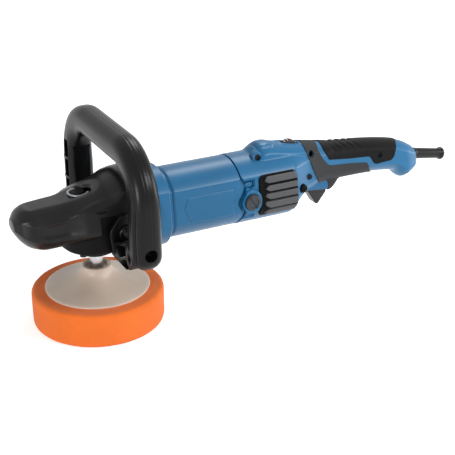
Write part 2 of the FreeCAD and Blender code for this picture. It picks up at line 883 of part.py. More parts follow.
def gear_case():
    drum = rod(d.case_radius, d.case_height, (0, 0, case_floor))
    reach = d.flange_x - d.case_flange
    cone = part("Cone", (0, 0, motor_z), ALONG["X"], Radius1=d.neck_front_radius, Radius2=d.neck_radius, Height=reach)
    wide = d.case_flange_radius * 2
    neck = shared(cone, block((0, -wide, case_floor), (d.flange_x, wide, motor_z + wide)))
    flange = rod(d.case_flange_radius, d.case_flange, (reach, 0, motor_z), "X")
    nose = rod(d.front_outside + d.case_wall, boss_end_x - d.flange_x + 1, (d.flange_x - 1, 0, motor_z), "X")
    ears = rod(d.ear_boss_radius, ear_reach * 2, (d.hoop_x, -ear_reach, ear_z), "Y")
    bevel_top = motor_z - bevel_pinion_radius + 4
    hollows = [
        rod(d.gear_teeth * d.spur_module / 2 + d.gear_room, gear_high + d.gear_headroom - case_floor,
            (0, 0, case_floor)),
        rod(bevel_radius + d.bevel_room, bevel_top - case_floor, (counter_x, 0, case_floor)),
        rod(d.counter_outside, counter_high_z + d.counter_width - gear_high, (counter_x, 0, gear_high)),
        rod(d.upper_outside, upper_bearing_z + d.upper_width - gear_high, (0, 0, gear_high)),
        rod(bevel_pinion_radius + d.bevel_room, front_bearing_x - counter_x + 1, (counter_x, 0, motor_z), "X"),
        rod(d.front_outside, boss_end_x - front_bearing_x + 1, (front_bearing_x, 0, motor_z), "X"),
        rod(d.lock_pin_radius + d.running, case_top - gear_high, (lock_x, 0, gear_high)),
        rod(d.lock_spring_radius + 1.3, d.lock_spring_pocket + 1, (lock_x, 0, case_top - d.lock_spring_pocket)),
        rod(d.ear_screw_radius, d.ear_screw_depth + 1, (d.hoop_x, -ear_reach - 1, ear_z), "Y"),
        rod(d.ear_screw_radius, d.ear_screw_depth + 1, (d.hoop_x, ear_reach - d.ear_screw_depth, ear_z), "Y"),
    ]
    hollows += [rod(d.cover_screw_radius, d.cover_screw_length, (x, y, z)) for x, y, z in cover_screw_places()]
    hollows += [rod(d.housing_screw_radius, d.case_flange * 2, (x - 1, y, z), "X")
                for x, y, z in housing_screw_places()]
    hollows += [rod(d.screw_head_radius + d.gap, d.screw_head * 3, (x - d.screw_head * 3, y, z), "X")
                for x, y, z in housing_screw_places()]
    node("gear_case", cut(joined(drum, neck, flange, nose, ears), *hollows))


def gear_case_cover():
    plate_low = case_floor - d.cover_plate
    plate = turned([
        (plate_low, 0), (plate_low, d.case_radius - d.cover_bevel), (plate_low + d.cover_bevel, d.case_radius),
        (case_floor, d.case_radius), (case_floor, 0),
    ])
    boss = rod(d.cover_boss_radius, d.case_floor_lift, (0, 0, cover_bottom))
    foot = rod(d.counter_outside + 2.5, case_floor - counter_low_z + 2, (counter_x, 0, counter_low_z - 2))
    hollows = [
        rod(d.lower_outside, case_floor - lower_bearing_z, (0, 0, lower_bearing_z)),
        rod(d.seal_radius, d.seal_thick, (0, 0, cover_bottom)),
        rod(d.counter_outside, case_floor - counter_low_z, (counter_x, 0, counter_low_z)),
    ]
    hollows += [rod(d.cover_screw_radius, d.cover_plate, (x, y, z)) for x, y, z in cover_screw_places()]
    node("gear_case_cover", cut(joined(plate, boss, foot), *hollows))


def head_fasteners():
    node("cover_screws", grouped(*axial_screws(
        d.cover_screw_radius, d.cover_screw_length, d.screw_head_radius, d.screw_head, cover_screw_places(), "Z")))
    node("housing_screws", grouped(*axial_screws(
        d.housing_screw_radius, d.housing_screw_length, d.screw_head_radius, d.screw_head, housing_screw_places(),
        "X")))
    node("dust_seal", tube(d.seal_radius, d.spindle_radius + d.gap, d.seal_thick, (0, 0, cover_bottom)))


def spindle_lock():
    pin_low = gear_high + d.lock_lift
    pin = rod(d.lock_pin_radius, cap_low - pin_low + 1, (lock_x, 0, pin_low))
    cap = rod(d.lock_cap_radius, d.lock_cap, (lock_x, 0, cap_low))
    node("spindle_lock_button", joined(pin, cap))
    foot = case_top - d.lock_spring_pocket
    node("spindle_lock_spring", spring(
        d.lock_spring_radius, d.lock_spring_wire, cap_low - foot, 5, (lock_x, 0, foot)))


def section(x, half, rise, drop, inset=0.0):
    """One cross-section of a moulded shell: arched top and belly, with straight flanks between two ridges."""
    half, top, belly = half - inset, rise - inset, -drop + inset
    middle, tall = (top + belly) / 2, (top - belly) / 2
    ridge_z, ridge_y = middle + tall * 0.575, half * 0.866
    low_z = middle - tall * 0.327
    corners = [V(x, -ridge_y, ridge_z), V(x, ridge_y, ridge_z), V(x, half, low_z), V(x, -half, low_z)]
    return Part.Wire([
        Part.Arc(corners[0], V(x, 0, top), corners[1]).toShape(),
        Part.LineSegment(corners[1], corners[2]).toShape(),
        Part.Arc(corners[2], V(x, 0, belly), corners[3]).toShape(),
        Part.LineSegment(corners[3], corners[0]).toShape(),
    ])


def lofted(stations, inset=0.0, ruled=False):
    return Part.makeLoft([section(*(float(size) for size in station), inset) for station in stations], True, ruled)


def solid_box(low, high):
    return Part.makeBox(*(float(b) - float(a) for a, b in zip(low, high)), V(*(float(a) for a in low)))


def solid_rod(radius, length, at, along=V(0, 0, 1)):
    return Part.makeCylinder(float(radius), float(length), V(*(float(size) for size in at)), along)


def hood_stations(inset=0.0):
    """The palm hood from the tip of its nose to its collar, about the motor axis: x, half width, rise and drop."""
    rows = [
        (d.tip_x + inset, d.tip_half + inset, d.tip_rise, d.tip_drop),
        (d.snout_x, d.snout_half, d.snout_rise, d.snout_drop),
        (d.bill_x, d.bill_half, d.bill_rise, d.bill_drop),
        (d.cheek_x, d.cheek_half, d.cheek_rise, d.cheek_drop),
        (d.brow_x, d.brow_half, d.brow_rise, d.brow_drop),
        (d.crown_x, d.case_radius, d.crown_rise, d.hood_drop),
        (d.nape_x, d.case_radius + d.nape_over, d.nape_rise, d.hood_drop),
        (d.neck_x, d.neck_half, d.neck_rise, d.hood_drop),
        (d.collar_x, d.collar_half, d.collar_rise, d.hood_drop),
    ]
    return [tuple(float(size) for size in row) for row in rows]


def gear_hood():
    wall, axis = float(d.hood_wall), float(motor_z)
    outer, inner = lofted(hood_stations()), lofted(hood_stations(wall), wall)
    wide, back = 100, float(d.collar_x) + 5
    skirt = -float(d.skirt_drop)
    front = -float(d.case_radius) + 9
    case = Part.makeCylinder(float(d.case_radius + d.gap), 200, V(0, 0, -100))
    cone = Part.makeCone(
        float(d.neck_front_radius + d.gap), float(d.neck_radius + d.gap), float(d.flange_x - d.case_flange),
        V(), V(1, 0, 0))
    below_top = solid_box((-wide, -wide, -wide), (wide, wide, case_top + d.gap - motor_z))
    hollows = [
        case.common(below_top),
        cone,
        solid_box((front, -wide, -wide), (back, wide, skirt)),
        solid_box((-d.skirt_back, -wide, -wide), (back, wide, d.ear_clear_rise)),
        solid_rod(d.lock_cap_radius + d.gap * 2, 60, (lock_x, 0, 0)),
        solid_box((lock_x - 18, -15, d.window_rise), (lock_x + 16, 15, d.window_rise + 30)),
    ]
    hood = outer.cut(inner).cut(hollows)
    largest = max(hood.Solids, key=lambda solid: solid.Volume)
    node("gear_hood", freeform("Hood", largest, (0, 0, motor_z)))


def direction_arrow():
    """A flat curved arrow round the lock button, in the floor of the hood's window."""
    outside, inside = float(d.arrow_radius), float(d.arrow_radius - d.arrow_band)
    thick = float(d.arrow_thick)
    band = Part.makeCylinder(outside, thick, V(), V(0, 0, 1), 230).cut(Part.makeCylinder(inside, thick))
    middle, spread = (outside + inside) / 2, float(d.arrow_band) * 1.1
    tip = [V(middle - spread, 0.2, 0), V(middle + spread, 0.2, 0), V(middle, -spread * 1.8, 0)]
    head = Part.Face(Part.makePolygon(tip + tip[:1])).extrude(V(0, 0, thick))
    arrow = band.fuse(head).removeSplitter()
    arrow.rotate(V(), V(0, 0, 1), 110)
    node("direction_arrow", freeform("Arrow", Part.makeCompound([arrow]), (lock_x, 0, motor_z + d.window_rise)))


# ---------------------------------------------------------------------------------------------- loop handle


def loop_handle():
    """A squarish tube bent into a loop over the gear head, with a ribbed foot and an ear on each side."""
    half, tube_half, corner = float(d.hoop_half), float(d.hoop_tube), float(d.hoop_corner)
    top, low = float(d.hoop_rise), -float(d.hoop_drop) + float(d.hoop_tube)
    bend = corner * (1 - math.sqrt(0.5))
    path = [
        Part.LineSegment(V(0, -half, low), V(0, -half, top - corner)),
        Part.Arc(V(0, -half, top - corner), V(0, -half + bend, top - bend), V(0, -half + corner, top)),
        Part.LineSegment(V(0, -half + corner, top), V(0, half - corner, top)),
        Part.Arc(V(0, half - corner, top), V(0, half - bend, top - bend), V(0, half, top - corner)),
        Part.LineSegment(V(0, half, top - corner), V(0, half, low)),
    ]
    square = solid_box((-tube_half, -half - tube_half, low), (tube_half, -half + tube_half, low + 10))
    upright = [edge for edge in square.Edges if abs(edge.Length - 10) < 1e-6]
    profile = square.makeFillet(float(d.hoop_tube_round), upright).section(
        Part.makePlane(200, 200, V(-100, -half - 100, low + 5)))
    start = Part.Wire(Part.__sortEdges__(profile.Edges))
    start.translate(V(0, 0, -5))
    hoop = Part.Wire([piece.toShape() for piece in path]).makePipeShell([start], True, True)
    feet = [foot_shape(side, half, tube_half, low) for side in (-1, 1)]
    shape = hoop.fuse(feet).removeSplitter()
    screw = -float(d.ear_screw_drop)
    reach = half + tube_half + 1
    seat = float(ear_reach + d.ear_gap + d.ear_thick + d.ear_pad)
    holes = [
        solid_rod(d.ear_screw_radius + d.gap, reach * 2, (0, -reach, screw), V(0, 1, 0)),
        solid_rod(d.access_radius, reach - seat, (0, -reach, screw), V(0, 1, 0)),
        solid_rod(d.access_radius, reach - seat, (0, seat, screw), V(0, 1, 0)),
    ]
    node("loop_handle", freeform("Loop", shape.cut(holes), (d.hoop_x, 0, motor_z)))


def foot_shape(side, half, tube_half, low):
    """The curled foot of one leg: out of the tube's end, round below, and up as the ear that is screwed on."""
    inner = float(ear_reach + d.ear_gap)
    ear = inner + float(d.ear_thick)
    outside, near = half + tube_half, half - tube_half
    toe, sole = inner - float(d.toe_hook), -float(d.hoop_drop)
    belly = [
        V(0, outside, low + 2), V(0, outside - 1, low - 2.3), V(0, outside - 6, sole + 8),
        V(0, outside - 14, sole + 4), V(0, half - 10, sole + 2), V(0, half - 28, sole + 0.5), V(0, inner + 6, sole),
        V(0, toe + 2, sole + 2.5), V(0, toe, sole + 6.5), V(0, toe, sole + 13), V(0, inner, sole + 16),
        V(0, inner, sole + 21.5), V(0, ear, sole + 21.5), V(0, near + 2, sole + 34.6),
        V(0, near + 6, low + 2),
    ]
    depth = 2 * (tube_half - float(d.foot_inset))
    foot = Part.Face(Part.makePolygon(belly + belly[:1])).extrude(V(depth, 0, 0))
    foot.translate(V(-depth / 2, 0, 0))
    cells = [
        [V(0, ear + 1, sole + 19), V(0, near - 2.5, sole + 29), V(0, near + 1.5, sole + 19.5),
         V(0, inner + 19.5, sole + 9)],
        [V(0, near + 8.5, sole + 28), V(0, outside - 10, sole + 26.5), V(0, outside - 15, sole + 9.5),
         V(0, near + 4.5, sole + 17)],
        [V(0, inner + 21.5, sole + 6.5), V(0, near, sole + 14.5), V(0, near + 9, sole + 7), V(0, near + 4, sole + 3.5),
         V(0, inner + 23.5, sole + 2)],
    ]
    for cell in cells:
        pocket = Part.Face(Part.makePolygon(cell + cell[:1])).extrude(V(depth * 0.6, 0, 0))
        pocket.translate(V(-tube_half - 1, 0, 0))
        foot = foot.cut(pocket)
    plate = [
        V(-20, 0, 0), V(-9, 0, 14), V(0, 0, 17), V(10, 0, 12), V(tube_half, 0, -6), V(tube_half, 0, sole + 4),
        V(-tube_half, 0, sole + 4), V(-19, 0, -12),
    ]
    ear_plate = Part.Face(Part.makePolygon(plate + plate[:1])).extrude(V(0, ear - inner, 0))
    ear_plate.translate(V(0, inner, 0))
    boss = Part.makeCylinder(
        float(d.ear_screw_head_radius + d.ear_pad_rim), float(d.ear_pad), V(0, ear, -float(d.ear_screw_drop)),
        V(0, 1, 0))
    shape = foot.fuse([ear_plate, boss]).removeSplitter()
    if side < 0:
        shape = shape.mirror(V(), V(0, 1, 0))
    return shape


def loop_handle_screws():
    seat = ear_reach + d.ear_gap + d.ear_thick + d.ear_pad
    screws = []
    for turn in (0, 180):
        head = part("Cylinder", (0, 0, seat), None, Radius=d.ear_screw_head_radius, Height=d.ear_screw_head)
        socket = part("Prism", (0, 0, seat + d.ear_screw_head / 2), None, Circumradius=d.ear_screw_head_radius / 2,
                      Height=d.ear_screw_head)
        shank_low = ear_reach - d.ear_screw_depth
        shank = rod(d.ear_screw_radius, seat - shank_low + 1, (0, 0, shank_low))
        screw = joined(cut(head, socket), shank)
        turned_round = FreeCAD.Rotation(V(0, 0, 1), turn) * ALONG["Y"]
        screws.append(place(screw, (d.hoop_x, 0, ear_z), turned_round))
    node("loop_handle_screws", grouped(*screws))


# -------------------------------------------------------------------------------------------- motor housing


def casing(offset, low, high):
    """The motor casing's section between two places along X: a circle with one leaning flat on each side."""
    radius, flat = d.barrel_radius + offset, d.barrel_flat + offset
    barrel = rod(radius, high - low, (low, 0, motor_z), "X")
    tilt, tall = math.radians(float(d.flat_tilt)), 60
    cutters = []
    for angle in (tilt, math.pi - tilt):
        turn = FreeCAD.Rotation(V(1, 0, 0), math.degrees(angle))
        across, up = math.cos(angle), math.sin(angle)
        corner = (low - 1, flat * across + tall * up, motor_z + flat * up - tall * across)
        cutters.append(part("Box", corner, turn, Length=high - low + 2, Width=20, Height=tall * 2))
    return cut(barrel, *cutters)


def at_brushes(*items):
    """Turns what is built round the motor axis to the brushes' own tilt, at their place along it."""
    tilt = FreeCAD.Rotation(V(1, 0, 0), float(d.brush_tilt))
    return place(grouped(*items), (brush_x, 0, motor_z), tilt)


def across_block(half_x, near, far, half_z, side):
    low, high = (near, far) if side > 0 else (-far, -near)
    return block((-half_x, low, -half_z), (half_x, high, half_z))


def across_rod(radius, near, far, side):
    return rod(radius, far - near, (0, near if side > 0 else -far, 0), "Y")


def motor_housing():
    wall = d.barrel_wall
    groove_x = d.flange_x + d.flange_long
    solid = joined(
        casing(d.flange_step, d.flange_x, groove_x),
        casing(-d.groove_step, groove_x, barrel_x),
        casing(0, barrel_x, joint_x),
        casing(-wall, joint_x, spigot_end),
    )
    web_x = spigot_end - d.web_thick
    hollows = [
        casing(-wall, d.flange_x - 1, joint_x - 14),
        casing(-wall * 2, joint_x - 15, web_x),
        rod(d.rear_outside, spigot_end - rear_bearing_x + 1, (rear_bearing_x, 0, motor_z), "X"),
        rod(d.shaft_radius + 1, d.web_thick + 2, (web_x - 1, 0, motor_z), "X"),
        at_brushes(*(across_rod(d.cap_stub_radius + d.holder_wall, 20, 60, side) for side in (-1, 1))),
    ]
    hollows += [rod(5, d.web_thick + 2, (web_x - 1, y, motor_z + z), "X") for y, z in ring_points(d.core_radius, 6)]
    hollows += [rod(d.housing_screw_radius, d.housing_screw_length + 1, (x, y, z), "X")
                for x, y, z in housing_screw_places()]
    node("motor_housing", cut(solid, *hollows))


def fan_baffle():
    start = barrel_x + 1
    plate = casing(-d.barrel_wall - 0.1, start, start + d.baffle_thick)
    node("fan_baffle", cut(plate, rod(d.baffle_eye, d.baffle_thick, (start, 0, motor_z), "X")))


def wedge(radius, low, high, start, sweep):
    """A pie slice round the motor axis, from an angle above +Y."""
    turn = FreeCAD.Rotation(V(1, 0, 0), start + 90) * ALONG["X"]
    return part("Cylinder", (low, 0, motor_z), turn, Radius=radius, Height=high - low, Angle=sweep)


def stator():
    end = core_x + d.core_long
    bore = d.core_radius + d.air_gap
    coil_in, coil_out = bore + 0.8, bore + 0.8 + d.coil_thick
    span, side_sweep, margin = float(d.coil_span), float(d.coil_side), 1
    first = 90 - span / 2
    slots = []
    coils = []
    for start in (first, first + 180):
        for angle in (start, start + span - side_sweep):
            slots.append(wedge(coil_out + 0.4, core_x, end, angle - margin, side_sweep + margin * 2))
        ring = wedge(coil_out, core_x - d.coil_turn, end + d.coil_turn, start, span)
        middle = wedge(coil_out + 5, core_x - 0.5, end + 0.5, start + side_sweep,
                       span - side_sweep * 2)
        hole = rod(coil_in, d.core_long + d.coil_turn * 2, (core_x - d.coil_turn, 0, motor_z), "X")
        coils.append(cut(ring, middle, hole))
    laminations = casing(-d.barrel_wall - 0.1, core_x, end)
    node("stator_core", cut(laminations, rod(bore, d.core_long, (core_x, 0, motor_z), "X"), *slots))
    node("field_coils", grouped(*coils))


def brushes():
    holders, blocks, springs, caps = [], [], [], []
    wall, snug = d.holder_wall, 0.1
    for side in (-1, 1):
        cap_seat = d.cap_reach - d.cap_thick
        socket = cap_seat - d.cap_stub
        box = across_block(d.brush_wide / 2 + wall, d.holder_start, socket, d.brush_tall / 2 + wall, side)
        guide = across_block(d.brush_wide / 2 + snug, d.holder_start, socket, d.brush_tall / 2 + snug, side)
        cup = across_rod(d.cap_stub_radius + wall, socket - 2, cap_seat - 0.2, side)
        thread = across_rod(d.cap_stub_radius, socket, cap_seat - 0.2, side)
        mouth = across_block(d.brush_wide / 2 + snug, socket - 2, socket, d.brush_tall / 2 + snug, side)
        holders.append(cut(joined(box, cup), guide, thread, mouth))
        near = d.commutator_radius + d.gap * 2
        blocks.append(across_block(d.brush_wide / 2, near, near + d.brush_long, d.brush_tall / 2, side))
        coil = spring(d.brush_spring_radius, d.brush_spring_wire, socket - near - d.brush_long, 4, (0, 0, 0))
        facing = FreeCAD.Rotation(V(1, 0, 0), -90 if side > 0 else 90)
        springs.append(place(coil, (0, (near + d.brush_long) * side, 0), facing))
        head = across_rod(d.cap_radius, cap_seat, d.cap_reach, side)
        stub = across_rod(d.cap_stub_radius, socket, cap_seat, side)
        slot = across_block(d.cap_slot / 2, d.cap_reach - 1.6, d.cap_reach, d.cap_radius * 0.55, side)
        caps.append(cut(joined(head, stub), slot))
    node("brush_holders", at_brushes(*holders))
    node("carbon_brushes", at_brushes(*blocks))
    node("brush_springs", at_brushes(*springs))
    node("brush_caps", at_brushes(*caps))


# --------------------------------------------------------------------------------------- rear shells and grip

SHELL_STATIONS = ("waist", "throat", "palm", "heel", "tail", "rump")
HUMP_STATIONS = ("scarp", "shoulder", "ridge", "crest", "slope", "fade")
POSTS = ("brow", "saddle", "flank", "grip", "end")


def size_of(*words):
    return getattr(d, "_".join(words))


def post_places():
    """Where the shells are screwed together: x, z and how far out the screw's head sits."""
    return [
        (shell_x + size_of(name, "post_back"), motor_z + size_of(name, "post_rise"), size_of(name, "post_reach"))
        for name in POSTS
    ]


def handle_stations(proud=0.0):
    bay = float(shell_x + d.engine_bay)
    side = math.cos(math.radians(float(d.flat_tilt) - math.degrees(math.acos(float(d.barrel_flat / 41)))))
    rows = [(bay, float(d.barrel_radius) * side + float(d.shell_proud), d.barrel_radius + d.shell_proud,
             d.barrel_radius + d.shell_proud)]
    for name in SHELL_STATIONS:
        rows.append((shell_x + size_of(name, "back"), size_of(name, "half"), size_of(name, "rise"),
                     size_of(name, "drop")))
    return [tuple(float(size) for size in row) for row in rows]


def bay_and_grip(inset=0.0, lead=0.0):
    stations = handle_stations()
    bay = stations[0]
    front = (float(shell_x) - lead, *bay[1:])
    last = list(stations[-1])
    last[0] -= inset
    grip = lofted(stations[:-1] + [tuple(last)], inset)
    return lofted([front, bay], inset, True).fuse(grip)


def hump(inset=0.0):
    """The raised back over the brushes and the speed control."""
    rows = [
        (shell_x + size_of(name, "back"), size_of(name, "half"), size_of(name, "rise"), -d.hump_base)
        for name in HUMP_STATIONS
    ]
    rows = [[float(size) for size in row] for row in rows]
    rows[0][0] += inset
    rows[-1][0] -= inset
    return lofted(rows, inset, True)


def lip():
    """The lip that the shells form round the trigger's root, lowest just behind it."""
    front, back, half = float(shell_x + d.lip_front), float(shell_x + d.lip_back), float(d.lip_half)
    low, seat = -float(d.lip_drop), -float(d.lip_seat)
    outline = [(front, seat), (front, low + 4), (front + 18, low + 1.5), (back - 14, low), (back - 9, low + 0.8),
               (back - 5, low + 6), (back, low + 12), (back, seat)]
    corners = [V(x, -half, z) for x, z in outline]
    solid = Part.Face(Part.makePolygon(corners + corners[:1])).extrude(V(0, half * 2, 0))
    lower_edges = [edge for edge in solid.Edges
                   if abs(abs(edge.CenterOfMass.y) - half) < 1e-3 and edge.BoundBox.ZMax < seat - 1]
    return solid.makeFillet(float(d.lip_round), lower_edges)


def solid_casing(offset, low, high):
    """The motor casing's outside between two places along X, as one solid about the motor axis."""
    size, flat = float(d.barrel_radius) + offset, float(d.barrel_flat) + offset
    shape = solid_rod(size, high - low, (low, 0, 0), V(1, 0, 0))
    lean = float(d.flat_tilt)
    for side in (-1, 1):
        slab = solid_box((low - 1, flat, -80), (high + 1, flat + 20, 80))
        slab.rotate(V(), V(1, 0, 0), lean)
        shape = shape.cut(slab if side > 0 else slab.mirror(V(), V(0, 1, 0)))
    return shape


def shell_bosses(side):
    """Inner posts and ribs of one half: where the halves meet, and what holds the switch, the boards and the cord."""
    reach = side * 60
    posts = [solid_rod(d.post_radius, 60, (x, 0, z - motor_z), V(0, side, 0)) for x, z, _ in post_places()]
    pivot_x, pivot_z = shell_x + d.trigger_pivot_back, -d.trigger_pivot_drop
    ribs = [solid_rod(d.trigger_pin_radius + 2.5, 60, (pivot_x, side * (d.trigger_half + d.gap * 2), pivot_z),
                      V(0, side, 0))]
    for x, half, low, high in module_seats():
        near, far = sorted((side * float(half + 0.2), reach))
        ribs.append(solid_box((x - 3, near, low), (x + 3, far, high)))
    return posts, ribs


def module_seats():
    """Ribs beside the inner modules: x, distance from the middle, lowest and highest point from the motor axis."""
    switch_x = shell_x + d.trigger_pivot_back + 3
    switch_low = -d.trigger_pivot_drop + d.switch_lift
    module_x = shell_x + d.module_back
    return [
        (switch_x + 5, d.switch_half, switch_low + 3, switch_low + d.switch_high - 3),
        (switch_x + d.switch_long - 5, d.switch_half, switch_low + 3, switch_low + d.switch_high - 3),
        (module_x + 6, d.module_half, 4, 4 + d.module_high - 4),
        (module_x + d.module_long - 6, d.module_half, 4, 4 + d.module_high - 4),
    ]


def shell_cuts(side):
    pivot_x, pivot_z = float(shell_x + d.trigger_pivot_back), -float(d.trigger_pivot_drop)
    slot = float(d.trigger_half + d.gap * 2)
    dial_x, dial_z = float(shell_x + d.dial_back), float(d.dial_rise)
    wide = float(d.dial_half + d.gap * 2)
    window_low = float(d.grille_high) / 2
    cuts = [
        solid_box((pivot_x - 6.5, -slot, -60), (pivot_x + d.trigger_reach + 2.4, slot, 0.5 - d.lip_seat)),
        solid_rod(d.trigger_pin_radius, 60, (pivot_x, -30, pivot_z), V(0, 1, 0)),
        solid_box((dial_x - d.dial_radius - 0.6, -wide, dial_z), (dial_x + d.dial_radius + 0.6, wide, dial_z + 30)),
        tilted(solid_rod(d.cap_radius + d.gap, 30, (brush_x, side * 30, 0), V(0, side, 0))),
        tilted(solid_rod(d.cap_stub_radius + d.holder_wall + d.gap, 60, (brush_x, 0, 0), V(0, side, 0))),
        guard_axis_rod(d.guard_radius + d.gap, 40, -20),
    ]
    window = solid_box((shell_x + d.grille_start + 5, 0, -window_low + 8), (
        shell_x + d.grille_start + d.grille_long - 8, 60, window_low - 10))
    cuts.append(window if side > 0 else window.mirror(V(), V(0, 1, 0)))
    if side < 0:
        cuts.append(solid_rod(d.lock_on_radius + d.gap, 60, (shell_x + d.lock_on_back, -70, -d.lock_on_drop),
                              V(0, 1, 0)))
    for x, z, out in post_places():
        level = z - motor_z
        cuts.append(solid_rod(d.shell_screw_radius, 60, (x, -30, level), V(0, 1, 0)))
        if side < 0:
            sunk = d.shell_screw_head - out
            cuts.append(solid_rod(d.shell_screw_head_radius + d.gap, 60, (x, sunk - 60, level), V(0, 1, 0)))
    return cuts


def tilted(shape):
    shape.rotate(V(), V(1, 0, 0), float(d.brush_tilt))
    return shape


def guard_axis_rod(radius, length, start):
    """A rod on the cord guard's sloping axis, from a distance along it."""
    slope = math.radians(float(d.guard_slope))
    along = V(math.cos(slope), 0, -math.sin(slope))
    base = V(float(shell_x + d.rump_back), 0, -float(d.guard_drop)) + along * start
    return Part.makeCylinder(float(radius), float(length), base, along)


def handle_shell(side):
    outer = bay_and_grip().fuse([hump(), lip()])
    boss = tilted(solid_rod(d.cap_radius + 4.5, d.cap_reach - 0.6, (brush_x, 0, 0), V(0, side, 0)))
    far_side = solid_box((0, 0, -200), (600, 200, 200))
    half_space = far_side if side > 0 else far_side.mirror(V(), V(0, 1, 0))
    wall = float(d.shell_wall)
    hollow = bay_and_grip(wall, 2).fuse(hump(wall))
    posts, ribs = shell_bosses(side)
    skin = outer.fuse(boss).cut(hollow)
    inside = outer.common(posts[0].fuse(posts[1:] + ribs))
    motor = [
        solid_casing(0.1, float(barrel_x), float(shell_x)),
        solid_casing(0.15 - float(d.barrel_wall), float(barrel_x), float(spigot_end) + 0.3),
    ]
    shape = skin.fuse(inside).common(half_space).cut(motor + shell_cuts(side))
    flange_start = -d.guard_flange - d.guard_seat - 0.2
    shape = shape.cut(guard_axis_rod(d.guard_flange_radius + d.gap, d.guard_flange + 0.4, flange_start))
    grille = NODES["vent_grille_left" if side < 0 else "vent_grille_right"].Shape.copy()
    grille.translate(V(0, 0, -float(motor_z)))
    shape = shape.cut(grille)
    return max(shape.Solids, key=lambda solid: solid.Volume)


def handle_shells():
    doc.recompute()
    node("handle_shell_left", freeform("ShellLeft", handle_shell(-1), (0, 0, motor_z)))
    node("handle_shell_right", freeform("ShellRight", handle_shell(1), (0, 0, motor_z)))


def overmould_outlines():
    """The soft grip's two panels on each side, seen from the side: x from the joint and height above the axis."""
    x, above, below = float(shell_x), float(d.crest_rise) + 4, -float(d.lip_drop) - 10
    front = [(94, above), (92.3, 37), (94.3, 28), (98.8, 16.3), (103.8, 4.8), (109.8, -5), (114, -8), (128, -10),
             (131, below), (192.3, below), (192.3, -9.6), (190.8, -7.9), (184.3, -1.5), (180.8, 7.1), (159.8, 10),
             (125.3, 13.6), (120.3, 17.6), (113.3, 26.6), (110.3, 33.8), (116, above)]
    top = [(121, above), (117.8, 32.4), (120.8, 27.4), (124.3, 20.6), (154.8, 16.6), (183.8, 14), (186.8, 11.2),
           (189.8, 5.6), (193.3, 3.1), (216.3, 3.9), (220.8, 7.1), (223.8, 15.2), (229.3, 21), (234, above)]
    return [[V(x + a, 0, z) for a, z in outline] for outline in (front, top)]


def grip_overmoulds():
    stations = handle_stations()
    skin = lofted(stations, -float(d.overmould)).cut(lofted(stations, -0.02))
    holes = [solid_rod(d.shell_screw_head_radius + d.gap * 2, 120, (x, -60, z - motor_z), V(0, 1, 0))
             for x, z, _ in post_places()]
    pivot_x = shell_x + d.trigger_pivot_back
    slot = float(d.trigger_half + d.gap * 3)
    holes.append(solid_box((pivot_x - 10, -slot, -60), (pivot_x + d.trigger_reach + 4, slot, 0)))
    holes += [hump(), lip()]
    for name, side in (("left", -1), ("right", 1)):
        panels = []
        for outline in overmould_outlines():
            prism = Part.Face(Part.makePolygon(outline + outline[:1])).extrude(V(0, 60 * side, 0))
            prism.translate(V(0, 0.1 * side, 0))
            panels.append(skin.common(prism).cut(holes))
        solids = [solid for panel in panels for solid in panel.Solids if solid.Volume > 100]
        node("grip_overmould_" + name, freeform("Grip", Part.makeCompound(solids), (0, 0, motor_z)))


def vent_grilles():
    start = shell_x + d.grille_start
    end = start + d.grille_long
    half = d.grille_high / 2
    for name, side in (("left", -1), ("right", 1)):
        plate = cut(casing(d.shell_proud + d.grille_proud, start, end), casing(d.shell_proud + 0.1, start - 1, end + 1))
        low, high = (20, 60) if side > 0 else (-60, -20)
        plate = shared(plate, block((start, low, motor_z - half), (end, high, motor_z + half)))
        pitch = d.grille_high / d.grille_bars
        grooves = []
        for n in range(1, int(float(d.grille_bars))):
            level = motor_z - half + pitch * n - d.grille_groove / 2
            deep = d.barrel_flat + d.shell_proud + 2.4
            near, far = (deep, 60) if side > 0 else (-60, -deep)
            grooves.append(block((start + d.grille_frame, near, level), (end + 1, far, level + d.grille_groove)))
            mouth_near, mouth_far = (20, 60) if side > 0 else (-60, -20)
            grooves.append(block((start + 10, mouth_near, level + 0.5), (end - 12, mouth_far, level + 1.7)))
        node("vent_grille_" + name, cut(plate, *grooves))


def shell_screws():
    screws = []
    for x, z, out in post_places():
        head = rod(d.shell_screw_head_radius, d.shell_screw_head, (x, -out, z), "Y")
        shank = rod(d.shell_screw_radius, out + 10, (x, -out, z), "Y")
        recess = block((x - 2.4, -out, z - 0.5), (x + 2.4, 1 - out, z + 0.5))
        cross = block((x - 0.5, -out, z - 2.4), (x + 0.5, 1 - out, z + 2.4))
        screws.append(cut(joined(head, shank), recess, cross))
    node("shell_screws", grouped(*screws))


# ------------------------------------------------------------------------------------------------- controls


def trigger():
    x, z = shell_x + d.trigger_pivot_back, motor_z - d.trigger_pivot_drop
    tip, reach = z - d.trigger_tip_drop, d.trigger_reach
    paddle = sawn([
        (x - 5, z + 5), (x - 5, z - 4), (x + 4, z - 9), (x + reach * 0.52, tip), (x + reach * 0.66, tip),
        (x + reach, z - 13), (x + reach, z + 3), (x + 5, z + 3),
    ], "XZ_Plane", d.trigger_half * 2)
    bore = rod(d.trigger_pin_radius + d.running, d.trigger_half * 2 + 2, (x, -d.trigger_half - 1, z), "Y")
    node("trigger", cut(paddle, bore))
    pin_half = d.trigger_half + 5
    node("trigger_pin", rod(d.trigger_pin_radius, pin_half * 2, (x, -pin_half, z), "Y"))
    node("trigger_spring", spring(
        d.trigger_spring_radius, d.trigger_spring_wire, d.switch_lift - 3.2, 2, (x + d.trigger_reach - 6, 0, z + 3.1)))


def lock_on_button():
    button = rod(d.lock_on_radius, d.lock_on_long,
                 (shell_x + d.lock_on_back, -d.lock_on_reach, motor_z - d.lock_on_drop), "Y")
    node("lock_on_button", button)


